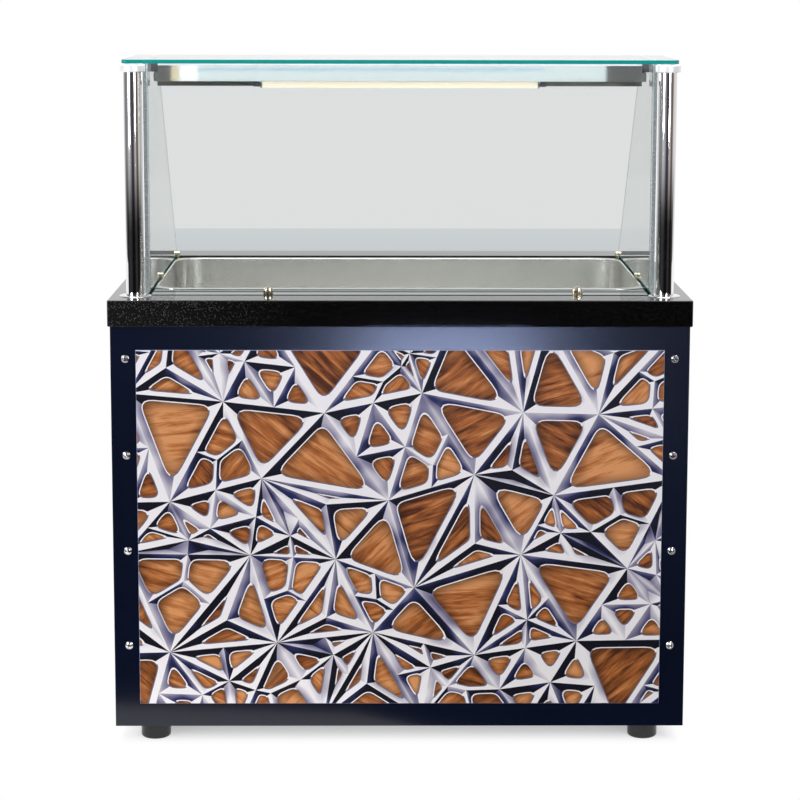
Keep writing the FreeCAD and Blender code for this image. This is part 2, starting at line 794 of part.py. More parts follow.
def doors():
    """Two hinged doors on pivot pins, with a bent bar handle each, and their magnetic catches."""
    pivots = []
    catches = []
    middle = (door_bottom + door_top) / 2 + handle_drop
    for side, sign in SIDES:
        x_pair = (sign * door_centre_gap / 2, sign * door_edge)
        door = block(x_pair, (door_inner, door_outer), (door_bottom, door_top))
        door = door.makeFillet(door_edge_radius, far_edges(door))
        hollow_x = (x_pair[0] + sign * door_sheet, x_pair[1] - sign * door_sheet)
        hollow_z = (door_bottom + door_sheet, door_top - door_sheet)
        door = door.cut(block(hollow_x, (door_inner, door_outer - door_sheet), hollow_z))
        liner = block((hollow_x[0] + sign * liner_gap, hollow_x[1] - sign * liner_gap),
                      (door_inner, door_inner + door_sheet),
                      (hollow_z[0] + liner_gap, hollow_z[1] - liner_gap))
        save(side + "_door_liner", liner)
        axis = V(sign * pivot_x, pivot_y, 0)
        plate_x = (axis.x - sign * pivot_plate_width / 2, axis.x + sign * door_thickness / 2)
        for seat, inside, way in ((floor_top, hollow_z[0], 1), (mid_rail_bottom, hollow_z[1], -1)):
            face = seat + way * pivot_plate
            reach = way * pivot_length
            plate = block(plate_x, (door_inner, door_outer), (seat, face))
            pivots.append(plate.fuse(rod(pivot_radius, axis + UP * seat, axis + UP * (face + reach))))
            holder = block((hollow_x[1], hollow_x[1] - sign * bush_block),
                           (door_inner + door_sheet, door_outer - door_sheet), (inside, inside + reach))
            bush = rod(pivot_radius + running_clearance, axis + UP * seat, axis + UP * (inside + reach))
            door = door.fuse(holder).cut(bush)
        save(side + "_door", door)

        grip_x = sign * (door_centre_gap / 2 + handle_offset)
        ends = [V(grip_x, door_outer, middle + turn * handle_span / 2) for turn in SIGNS]
        tops = [end + REARWARD * handle_reach for end in ends]
        path = [Part.makeLine(ends[0], tops[0] - REARWARD * handle_bend)]
        path.append(quarter_turn(tops[0] - REARWARD * handle_bend, tops[0], UP * handle_bend))
        path.append(Part.makeLine(tops[0] + UP * handle_bend, tops[1] - UP * handle_bend))
        path.append(quarter_turn(tops[1] - UP * handle_bend, tops[1], REARWARD * -handle_bend))
        path.append(Part.makeLine(tops[1] - REARWARD * handle_bend, ends[1]))
        save(side + "_door_handle", swept(path, handle_radius))

        catch_x = (sign * (catch_offset - catch_width / 2), sign * (catch_offset + catch_width / 2))
        face = door_inner - seat_gap
        keeper = block(catch_x, (face - catch_depth, face),
                       (mid_rail_bottom - catch_height, mid_rail_bottom))
        foot = block(catch_x, (face - catch_depth, rear_rail_front),
                     (mid_rail_bottom, mid_rail_bottom + catch_overlap))
        catches.append(keeper.fuse(foot))
    save("door_pivots", *pivots)
    save("door_catches", *catches)


def quarter_turn(start, corner, leave):
    """Quarter arc that replaces the corner between two square runs."""
    end = corner + leave
    inward = (start - corner) + leave
    centre = corner + inward
    middle = centre - inward * (1 / math.sqrt(2))
    return Part.Arc(start, middle, end).toShape()


def posts():
    """Chromed tubes held to the worktop by tie rods, each with a base flange and a collar on top."""
    rods = []
    pads = []
    flanges = []
    for side, sign in SIDES:
        foot = V(sign * post_x, post_y, 0)
        tube = rod(post_radius, foot + UP * post_foot, foot + UP * collar_bottom)
        bore = rod(post_radius - post_wall, foot + UP * post_foot, foot + UP * collar_bottom)
        save(side + "_post_tube", tube.cut(bore))

        clear = rod(rod_radius + hole_clearance, foot + UP * worktop_height, foot + UP * post_foot)
        flange = rod(flange_radius, foot + UP * worktop_height, foot + UP * post_foot)
        flange = flange.makeFillet(flange_edge, edges_at(flange, post_foot))
        flanges.append(flange.cut(clear))

        collar = rod(collar_radius, foot + UP * collar_bottom, foot + UP * collar_top)
        rims = edges_at(collar, collar_top) + edges_at(collar, collar_bottom)
        collar = collar.makeFillet(collar_edge, rims)
        grip_top = collar_bottom + rod_grip
        save(side + "_post_collar", collar.cut(rod(rod_radius + hole_clearance, foot + UP * collar_bottom,
                                                   foot + UP * (grip_top + seat_gap))))

        rods.append(rod(rod_radius, foot + UP * (worktop_bottom - rod_tail), foot + UP * grip_top))
        nut_top = worktop_bottom - washer_thickness
        nut_foot = foot + UP * (nut_top - nut_height)
        washer = rod(washer_radius, foot + UP * nut_top, foot + UP * worktop_bottom)
        corners = [nut_foot + FreeCAD.Rotation(UP, 60 * index).multVec(V(nut_radius, 0, 0))
                   for index in range(6)]
        nut = extruded(corners, UP * nut_height)
        hole = rod(rod_radius + hole_clearance, nut_foot, foot + UP * worktop_bottom)
        rods += [washer.cut(hole), nut.cut(hole)]
        pads.append(rod(pad_radius, foot + UP * collar_top, foot + UP * glass_under))
    save("post_flanges", *flanges)
    save("post_tie_rods", *rods)
    save("glass_pads", *pads)


def glass():
    """Top shelf, front screen and two raked end screens of toughened glass."""
    top = rounded_block(top_glass_half, (top_glass_front, top_glass_rear),
                        (glass_under, glass_under + top_glass_thickness), top_glass_corner)
    rims = edges_at(top, glass_under) + edges_at(top, glass_under + top_glass_thickness)
    save("top_glass", top.makeFillet(top_glass_edge, rims))
    save("front_glass", block((-pane_inner, pane_inner), (front_glass_face, front_glass_back),
                              (pane_bottom, glass_under)))
    for side, sign in SIDES:
        x = sign * pane_inner
        outline = [V(x, pane_front, pane_bottom), V(x, worktop_rear - pane_rear_inset, pane_bottom),
                   V(x, top_glass_rear, glass_under), V(x, pane_front, glass_under)]
        save(side + "_side_glass", extruded(outline, V(sign * pane_thickness, 0, 0)))


def clamp(place, along):
    """Round-topped clip that grips the lower edge of a pane, with a screw head on each cheek."""
    across = along.cross(UP)
    low = place - along * (clamp_width / 2) - across * (clamp_spread / 2)
    far = low + along * clamp_width
    shoulder = worktop_height + clamp_height - clamp_width / 2 - place.z
    body = extruded([low, far, far + UP * shoulder, low + UP * shoulder], across * clamp_spread)
    crown = place + UP * shoulder
    half = across * (clamp_spread / 2)
    dome = rod(clamp_width / 2, crown - half, crown + half)
    floor = block((place.x - clamp_width, place.x + clamp_width),
                  (place.y - clamp_width, place.y + clamp_width), (place.z - clamp_width, place.z))
    body = body.fuse(dome.cut(floor))
    proud = across * (clamp_spread / 2 + clamp_screw_height)
    body = body.fuse(rod(clamp_screw_radius, crown - proud, crown + proud))
    slot = across * (pane_thickness / 2 + clamp_slot_gap)
    base = V(place.x, place.y, pane_bottom) - slot
    near = base - along * clamp_width
    far = base + along * clamp_width
    rise = UP * (2 * clamp_height)
    return body.cut(extruded([near, far, far + rise, near + rise], slot * 2))


def glass_clamps():
    """Two clips under the front screen and two under each end screen."""
    clips = []
    for x in (-front_clamp_left, front_clamp_right):
        clips.append(clamp(V(x, front_glass_middle, worktop_height), V(1, 0, 0)))
    on_flange = worktop_front + side_clamp_front_inset
    on_stone = worktop_rear - side_clamp_rear_inset
    for sign in SIGNS:
        clips.append(clamp(V(sign * pane_middle, on_flange, tank_top), REARWARD))
        clips.append(clamp(V(sign * pane_middle, on_stone, worktop_height), REARWARD))
    save("glass_clamps", *clips)


def lamp_trough(grow, half):
    """Rounded channel shape of the lamp housing, shrunk inwards by a wall."""
    low = glass_under - lamp_rear_skirt - lamp_depth
    shape = block((-half, half), (lamp_front + grow, lamp_rear - grow), (low, lamp_top - grow))
    top = [edge for edge in edges_at(shape, lamp_top - grow) if edge.BoundBox.YLength < touching]
    return shape.makeFillet(lamp_bend - grow, top)


def lamp():
    """Polished channel over a tube lamp, hung between the end screens by two brackets."""
    housing = lamp_trough(0, lamp_half).cut(lamp_trough(lamp_sheet, lamp_half - lamp_sheet))
    width = (-lamp_half, lamp_half)
    rear_lip = glass_under - lamp_rear_skirt
    low = rear_lip - 2 * lamp_depth
    housing = housing.cut(block(width, (lamp_front, lamp_rear), (low, rear_lip)))
    housing = housing.cut(block(width, (lamp_front, lamp_rear - lamp_sheet),
                                (low, lamp_top - lamp_front_skirt)))
    notch_bottom = lamp_top - bracket_height - bracket_gap
    notch_start = lamp_half - bracket_overlap - bracket_gap
    brackets = []
    for sign in SIGNS:
        housing = housing.cut(block((sign * notch_start, sign * lamp_half), (lamp_front, lamp_rear),
                                    (notch_bottom, lamp_top)))
        arm = block((sign * (lamp_half - bracket_overlap), sign * pane_inner),
                    (lamp_middle - bracket_depth / 2, lamp_middle + bracket_depth / 2),
                    (lamp_top - bracket_height, glass_under))
        brackets.append(arm)
    save("lamp_housing", housing)
    save("lamp_brackets", *brackets)

    centre = V(0, lamp_middle, tube_level)
    half = V(tube_length / 2, 0, 0)
    tube = rod(tube_radius, centre - half, centre + half)
    holders = []
    for sign in SIGNS:
        end = centre + half * sign
        holder = block((end.x + sign * seat_gap, end.x + sign * (seat_gap + holder_width)),
                       (lamp_middle - holder_depth / 2, lamp_middle + holder_depth / 2),
                       (tube_level - holder_below, lamp_top - lamp_sheet))
        for turn in SIGNS:
            root = end + REARWARD * (turn * tube_pin_spread)
            tip = root + V(sign * tube_pin_length, 0, 0)
            tube = tube.fuse(rod(tube_pin_radius, root - V(sign * overcut, 0, 0), tip))
            holder = holder.cut(rod(tube_pin_radius + running_clearance, root,
                                    tip + V(sign * seat_gap, 0, 0)))
        holders.append(holder)
    save("lamp_tube", tube)
    save("lamp_holders", *holders)


os.makedirs("parts", exist_ok=True)
feet()
base_frame()
frame_uprights()
top_frame()
rear_mid_rail()
cabinet_panels()
front_dressing()
worktop()
well_tank()
heating()
drain()
switch_pair()
controls()
cable_gland()
doors()
posts()
glass()
glass_clamps()
lamp()
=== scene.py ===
import math
import random

import bmesh
import bpy
from mathutils import Matrix, Vector, noise


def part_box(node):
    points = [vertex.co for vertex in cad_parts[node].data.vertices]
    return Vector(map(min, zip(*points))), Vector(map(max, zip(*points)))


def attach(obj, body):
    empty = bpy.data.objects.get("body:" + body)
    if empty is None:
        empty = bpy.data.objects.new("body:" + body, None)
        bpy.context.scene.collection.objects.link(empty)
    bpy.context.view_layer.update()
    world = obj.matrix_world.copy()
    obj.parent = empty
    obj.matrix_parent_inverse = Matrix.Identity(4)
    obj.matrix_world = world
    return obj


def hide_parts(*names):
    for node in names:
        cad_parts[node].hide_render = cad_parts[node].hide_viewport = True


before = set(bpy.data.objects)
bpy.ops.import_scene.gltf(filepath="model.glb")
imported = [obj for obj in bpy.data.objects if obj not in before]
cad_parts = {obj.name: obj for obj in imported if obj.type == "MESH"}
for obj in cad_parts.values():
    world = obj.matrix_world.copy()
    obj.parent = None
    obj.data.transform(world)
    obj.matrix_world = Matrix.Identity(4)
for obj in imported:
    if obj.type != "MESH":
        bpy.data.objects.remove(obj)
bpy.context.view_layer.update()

# Levelling feet
# Black moulded feet on steel studs, screwed up into nuts that are welded inside the base rails.
# Each barrel is turned, with a rounded sole, a plain polished side and a fine groove under its top rim.
foot_rail_gap = 0.0003
sole_edge = 0.006
groove_depth = 0.0008
thread_crest, thread_root, thread_pitch = 0.0058, 0.0052, 0.00175


def output_of(source):
    """A node stands for its first output; an output or a plain value stays as it is."""
    return source.outputs[0] if isinstance(source, bpy.types.Node) else source


def add_node(tree, kind, feeds=None, **settings):
    """Node in a tree, a shader node unless its kind says more; feeds are plain values, outputs or nodes."""
    made = tree.nodes.new(kind if "Node" in kind else "ShaderNode" + kind)
    for name, value in settings.items():
        setattr(made, name, value)
    for socket, value in (feeds or {}).items():
        value = output_of(value)
        if isinstance(value, bpy.types.NodeSocket):
            tree.links.new(value, made.inputs[socket])
        else:
            made.inputs[socket].default_value = value
    return made


def own_place(tree):
    """Place on a piece, in its own coordinates."""
    return add_node(tree, "TexCoord").outputs["Object"]


def reckoned(tree, operation, *values, kind="Math"):
    """Sum on values or, with VectorMath as its kind, on vectors."""
    return add_node(tree, kind, dict(enumerate(values)), operation=operation)


def mapped(tree, value, low, high, to_low=0.0, to_high=1.0, **settings):
    """Value carried from one range to another."""
    feeds = {"Value": value, "From Min": low, "From Max": high, "To Min": to_low, "To Max": to_high}
    return add_node(tree, "MapRange", feeds, **settings)


def surface_grain_group():
    """Fine relief that most finishes have: orange peel, brushing or mould grain, by its size and stretch."""
    tree = bpy.data.node_groups.new("surface_grain", "ShaderNodeTree")
    for label, kind, value in (("Size", "Float", 400.0), ("Stretch", "Vector", (1.0, 1.0, 1.0)),
                               ("Depth", "Float", 0.0001), ("Smooth", "Float", 0.3), ("Rough", "Float", 0.4)):
        socket = tree.interface.new_socket(label, in_out="INPUT", socket_type="NodeSocket" + kind)
        socket.default_value = value
    for label, kind in (("Roughness", "Float"), ("Normal", "Vector"), ("Grain", "Float")):
        tree.interface.new_socket(label, in_out="OUTPUT", socket_type="NodeSocket" + kind)
    given = tree.nodes.new("NodeGroupInput").outputs
    result = tree.nodes.new("NodeGroupOutput").inputs
    run = reckoned(tree, "MULTIPLY", own_place(tree), given["Stretch"], kind="VectorMath")
    grain = add_node(tree, "TexNoise", {"Vector": run, "Scale": given["Size"], "Detail": 4.0})
    rough = mapped(tree, grain, 0.3, 0.7, given["Smooth"], given["Rough"])
    relief = add_node(tree, "Bump", {"Strength": 1.0, "Distance": given["Depth"], "Height": grain})
    for label, source in (("Roughness", rough), ("Normal", relief), ("Grain", grain)):
        tree.links.new(source.outputs[0], result[label])
    return tree


surface_grain = surface_grain_group()


def wire(finish, **sources):
    """Feeds sockets of a finish's shader, named with _ for a space."""
    tree = finish.node_tree
    for socket, source in sources.items():
        tree.links.new(output_of(source), tree.nodes["Principled BSDF"].inputs[socket.replace("_", " ")])


def new_finish(name, colour=None, grain=None, **values):
    """Material with one Principled shader, whose sockets take plain values, named with _ for a space.

    Grain is the size, depth, smooth, rough and, where it isn't even, stretch of its surface grain.
    """
    finish = bpy.data.materials.new(name)
    finish.use_nodes = True
    sockets = finish.node_tree.nodes["Principled BSDF"].inputs
    if colour:
        sockets["Base Color"].default_value = (*colour, 1)
    for socket, value in values.items():
        sockets[socket.replace("_", " ")].default_value = value
    if grain:
        feeds = dict(zip(("Size", "Depth", "Smooth", "Rough", "Stretch"), grain))
        relief = add_node(finish.node_tree, "Group", feeds, node_tree=surface_grain).outputs
        wire(finish, Roughness=relief["Roughness"], Normal=relief["Normal"])
    return finish


def lofted(rings, cap_first=False, cap_last=False, wrap=False):
    """Skin through rings of matching points, in order; a cap closes an end with one face."""
    shape = bmesh.new()
    loops = [[shape.verts.new(point) for point in ring] for ring in rings]
    pairs = list(zip(loops, loops[1:]))
    if wrap:
        pairs.append((loops[-1], loops[0]))
    for near, far in pairs:
        for index in range(len(near)):
            after = (index + 1) % len(near)
            shape.faces.new((near[index], near[after], far[after], far[index]))
    if cap_first:
        shape.faces.new(loops[0][::-1])
    if cap_last:
        shape.faces.new(loops[-1])
    return shape


def turned(profile, place=Matrix.Identity(4), steps=72, hollow=False):
    """Turned solid from (radius, height) points about Z, put in place; hollow joins its ends as a tube."""
    turns = [2 * math.pi * step / steps for step in range(steps)]
    rings = [[place @ Vector((radius * math.cos(turn), radius * math.sin(turn), height)) for turn in turns]
             for radius, height in profile]
    return lofted(rings, cap_first=not hollow, cap_last=not hollow, wrap=hollow)


def eased(points, radius, steps=4):
    """Open run of flat points; its inner corners become arcs of the radius, or less where room is short."""
    result = [Vector(points[0])]
    for before, corner, after in zip(points, points[1:], points[2:]):
        before, corner, after = Vector(before), Vector(corner), Vector(after)
        back, ahead = (before - corner), (after - corner)
        half = back.angle(ahead) / 2
        run = min(radius / math.tan(half), 0.45 * back.length, 0.45 * ahead.length)
        start, end = corner + back.normalized() * run, corner + ahead.normalized() * run
        centre = corner + (back.normalized() + ahead.normalized()).normalized() * (run / math.cos(half))
        arm, sweep = start - centre, (start - centre).angle_signed(end - centre)
        for step in range(steps + 1):
            result.append(centre + Matrix.Rotation(-sweep * step / steps, 2) @ arm)
    result.append(Vector(points[-1]))
    return [tuple(point) for point in result]


def standing(low, high):
    """Place on the floor under the middle of a box."""
    middle = (low + high) / 2
    return Matrix.Translation((middle.x, middle.y, 0))


def assembled(name, parts, crease=40):
    """One object from several shapes, each with its finish, or with the finishes that its faces number."""
    whole = bmesh.new()
    finishes = []
    for shape, own in parts:
        own = own if isinstance(own, list) else [own]
        finishes += [finish for finish in own if finish not in finishes]
        for face in shape.faces:
            face.material_index = finishes.index(own[face.material_index])
        scrap = bpy.data.meshes.new("scrap")
        shape.to_mesh(scrap)
        shape.free()
        whole.from_mesh(scrap)
        bpy.data.meshes.remove(scrap)
    mesh = bpy.data.meshes.new(name)
    whole.to_mesh(mesh)
    whole.free()
    for finish in finishes:
        mesh.materials.append(finish)
    mesh.shade_smooth()
    mesh.set_sharp_from_angle(angle=math.radians(crease))
    piece = bpy.data.objects.new(name, mesh)
    bpy.context.scene.collection.objects.link(piece)
    levelling = piece.modifiers.new("levelling", "WEIGHTED_NORMAL")
    levelling.keep_sharp = True
    piece.data = bpy.data.meshes.new_from_object(piece.evaluated_get(bpy.context.evaluated_depsgraph_get()))
    piece.modifiers.remove(levelling)
    return piece


def stands_for(piece, body, node):
    """The piece takes the place of a CAD node, whose own mesh is hidden, and moves with its body."""
    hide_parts(node)
    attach(piece, body)
    return piece


def fitted(node, ending, parts, body="counter", crease=40):
    """Assembled piece in the place of a CAD node, named for the node and how the piece is made."""
    return stands_for(assembled(node + ending, parts, crease), body, node)


foot_plastic = new_finish("foot_plastic", (0.009, 0.009, 0.010), (140.0, 0.00003, 0.14, 0.26), IOR=1.5)
zinc = new_finish("zinc_plate", (0.56, 0.56, 0.54), (900.0, 0.00002, 0.28, 0.48), Metallic=1.0)

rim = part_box("base_frame")[0].z - foot_rail_gap
for node in ("front_left_foot", "front_right_foot", "rear_left_foot", "rear_right_foot"):
    low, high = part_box(node)
    stand = standing(low, high)
    radius = (high.x - low.x) / 2
    groove = radius - groove_depth
    barrel = eased([(0.004, 0), (radius, 0), (radius, rim - 0.007), (groove, rim - 0.006),
                    (groove, rim - 0.005), (radius, rim - 0.004), (radius, rim), (0.0065, rim)], sole_edge)
    stud = [(thread_crest, rim)]
    while stud[-1][1] + thread_pitch < high.z - 0.001:
        level = stud[-1][1]
        stud += [(thread_root, level + thread_pitch / 2), (thread_crest, level + thread_pitch)]
    stud.append((0.005, high.z))
    parts = [(turned(barrel, stand), foot_plastic), (turned(stud, stand, 24), zinc)]
    fitted(node, "_turned", parts, node)

# Welded frame
# Box tubes, welded and ground, carry the worktop and take the sheets of the cabinet.
# They are powder coated in the same dark blue as the cabinet, which lies a little thick over the welds.


def toned(tree, share, *stops):
    """Colour that runs through stops of a position and a colour."""
    ramp = add_node(tree, "ValToRGB", {"Fac": share})
    ends = ramp.color_ramp.elements
    for index, (position, colour) in ((0, stops[0]), (1, stops[-1])):
        ends[index].position = position
        ends[index].color = (*colour, 1)
    for position, colour in stops[1:-1]:
        ends.new(position).color = (*colour, 1)
    return ramp


def recoat(finish, *nodes):
    """CAD pieces whose shape is right keep it and take this finish."""
    for node in nodes:
        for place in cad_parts[node].material_slots:
            place.material = finish


navy_paint = new_finish("navy_paint", (0.0075, 0.011, 0.046), (700.0, 0.000002, 0.17, 0.21), IOR=1.5,
                        Coat_Weight=0.2, Coat_Roughness=0.14)
paint = navy_paint.node_tree
paint_cloud = add_node(paint, "TexNoise", {"Vector": own_place(paint), "Scale": 3.0, "Detail": 3.0})
paint_shade = toned(paint, paint_cloud, (0.3, (0.0022, 0.0040, 0.0130)), (0.7, (0.0034, 0.0060, 0.0190)))
wire(navy_paint, Base_Color=paint_shade)
recoat(navy_paint, "base_frame", "frame_uprights", "top_frame", "rear_mid_rail")

# Cupboard floor and service tray
# Galvanised sheets lie on the base rails and on the rail over the doors.
# The zinc shows its large soft crystals, and the floor has holes for the cable and the drain hose.
galvanised = new_finish("galvanised_sheet", Metallic=1.0)
crystals = galvanised.node_tree
crystal = add_node(crystals, "TexVoronoi", {"Vector": own_place(crystals), "Scale": 70.0})
crystal_value = add_node(crystals, "SeparateColor", {"Color": crystal.outputs["Color"]}).outputs
crystal_shade = toned(crystals, crystal_value["Red"], (0.0, (0.34, 0.35, 0.36)), (1.0, (0.52, 0.53, 0.54)))
crystal_rough = mapped(crystals, crystal_value["Green"], 0.0, 1.0, 0.32, 0.52)
wire(galvanised, Base_Color=crystal_shade, Roughness=crystal_rough)
recoat(galvanised, "cupboard_floor", "service_tray")

# Cabinet panels
# Folded steel sheets, powder coated dark blue, screwed at the front and welded at the sides.
# Their cut and folded edges are slightly rounded under the paint.
sheet_edge = 0.0006


def dressed(node, edge):
    """Copy of a CAD piece with its faces merged and its sharp edges eased."""
    shape = bmesh.new()
    shape.from_mesh(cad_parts[node].data)
    bmesh.ops.remove_doubles(shape, verts=shape.verts, dist=1e-6)
    bmesh.ops.dissolve_limit(shape, angle_limit=math.radians(0.5), verts=shape.verts, edges=shape.edges)
    sharp = [corner for corner in shape.edges if corner.is_manifold
             and corner.calc_face_angle() > math.radians(40)]
    bmesh.ops.bevel(shape, geom=sharp, offset=edge, segments=2, profile=0.5, affect="EDGES",
                    clamp_overlap=True)
    return shape


for node in ("front_panel", "left_side_panel", "right_side_panel"):
    fitted(node, "_painted", [(dressed(node, sheet_edge), navy_paint)])

# Printed front panel
# Flat laminate glued on the front sheet, printed with a made-up lattice of bevelled bars over timber.
# The print is drawn as flat faces: each opening has its bars' facets, a fine rim, a shadow and the wood.
lattice_side = 0.196
lattice_rise = 0.866
lattice_jitter = 0.040
bar_half_widths = (0.0085, 0.0150)
spoke_half_widths = (0.0045, 0.0085)
longest_spoke = 0.09
opening_corner = 0.022
rim_width = 0.0022
shadow_widths = (0.018, 0.011, 0.006)
print_light = Vector((-0.45, 0.89))
laminate_chamfer = 0.0005
draw = random.Random(29)


def inset_corners(corners, widths):
    """Polygon moved inwards by a width for each side, or nothing where a side would vanish."""
    count = len(corners)
    lines = []
    for index, corner in enumerate(corners):
        run = (corners[(index + 1) % count] - corner).normalized()
        lines.append((corner + Vector((-run.y, run.x)) * widths[index], run))
    moved = []
    for index in range(count):
        (base, run), (other, turn) = lines[index - 1], lines[index]
        gap = other - base
        share = run.x * turn.y - run.y * turn.x
        if abs(share) < 0.05:
            return None
        moved.append(base + run * ((gap.x * turn.y - gap.y * turn.x) / share))
    for index in range(count):
        if (moved[(index + 1) % count] - moved[index]).dot(lines[index][1]) < 0.006:
            return None
    return moved


def corner_arcs(corners, radius, steps=5):
    """Arc points that round each corner of a polygon, as one list for a corner."""
    arcs = []
    for index, corner in enumerate(corners):
        back = corners[index - 1] - corner
        ahead = corners[(index + 1) % len(corners)] - corner
        run = min(radius / math.tan(back.angle(ahead) / 2), 0.42 * back.length, 0.42 * ahead.length)
        start, end = corner + back.normalized() * run, corner + ahead.normalized() * run
        arcs.append([(1 - t) ** 2 * start + 2 * t * (1 - t) * corner + t ** 2 * end
                     for t in (step / steps for step in range(steps + 1))])
    return arcs


def lattice_cells(low, high):
    """Cells of the lattice: a loose triangle net, whose triangles are divided in one of five ways."""
    rows = int((high.z - low.z) / (lattice_side * lattice_rise)) + 3
    columns = int((high.x - low.x) / lattice_side) + 3
    knots = {}
    for row in range(-1, rows):
        for column in range(-2, columns):
            place = Vector((low.x + (column + 0.5 * (row % 2)) * lattice_side,
                            low.z + (row - 0.3) * lattice_side * lattice_rise))
            knots[column, row] = place + Vector((draw.uniform(-1, 1), draw.uniform(-1, 1))) * lattice_jitter
    middles = {}

    def middle(first, second):
        return middles.setdefault(frozenset((first, second)), knots[first].lerp(knots[second], 0.5))

    cells = []
    for row in range(-1, rows - 1):
        for column in range(-2, columns - 1):
            lean = row % 2
            upright = [(column, row), (column + 1, row), (column + lean, row + 1)]
            hanging = [(column + 1 - lean, row), (column + 1, row + 1), (column, row + 1)]
            for a, b, c in (upright, hanging):
                ab, bc, ca = middle(a, b), middle(b, c), middle(c, a)
                a, b, c = knots[a], knots[b], knots[c]
                heart = (a + b + c) / 3
                heart = heart + Vector((draw.uniform(-1, 1), draw.uniform(-1, 1))) * lattice_jitter * 0.5
                cells += draw.choice((
                    [(a, ab, heart, ca), (b, bc, heart, ab), (c, ca, heart, bc)],
                    [(a, ab, heart), (ab, b, heart), (b, bc, heart), (bc, c, heart), (c, ca, heart),
                     (ca, a, heart)],
                    [(a, ab, b, heart), (b, bc, c, heart), (c, ca, a, heart)],
                    [(a, ab, ca), (b, bc, ab), (c, ca, bc), (ab, bc, ca)],
                    [(a, ab, b, bc, c, ca)]))
    return cells


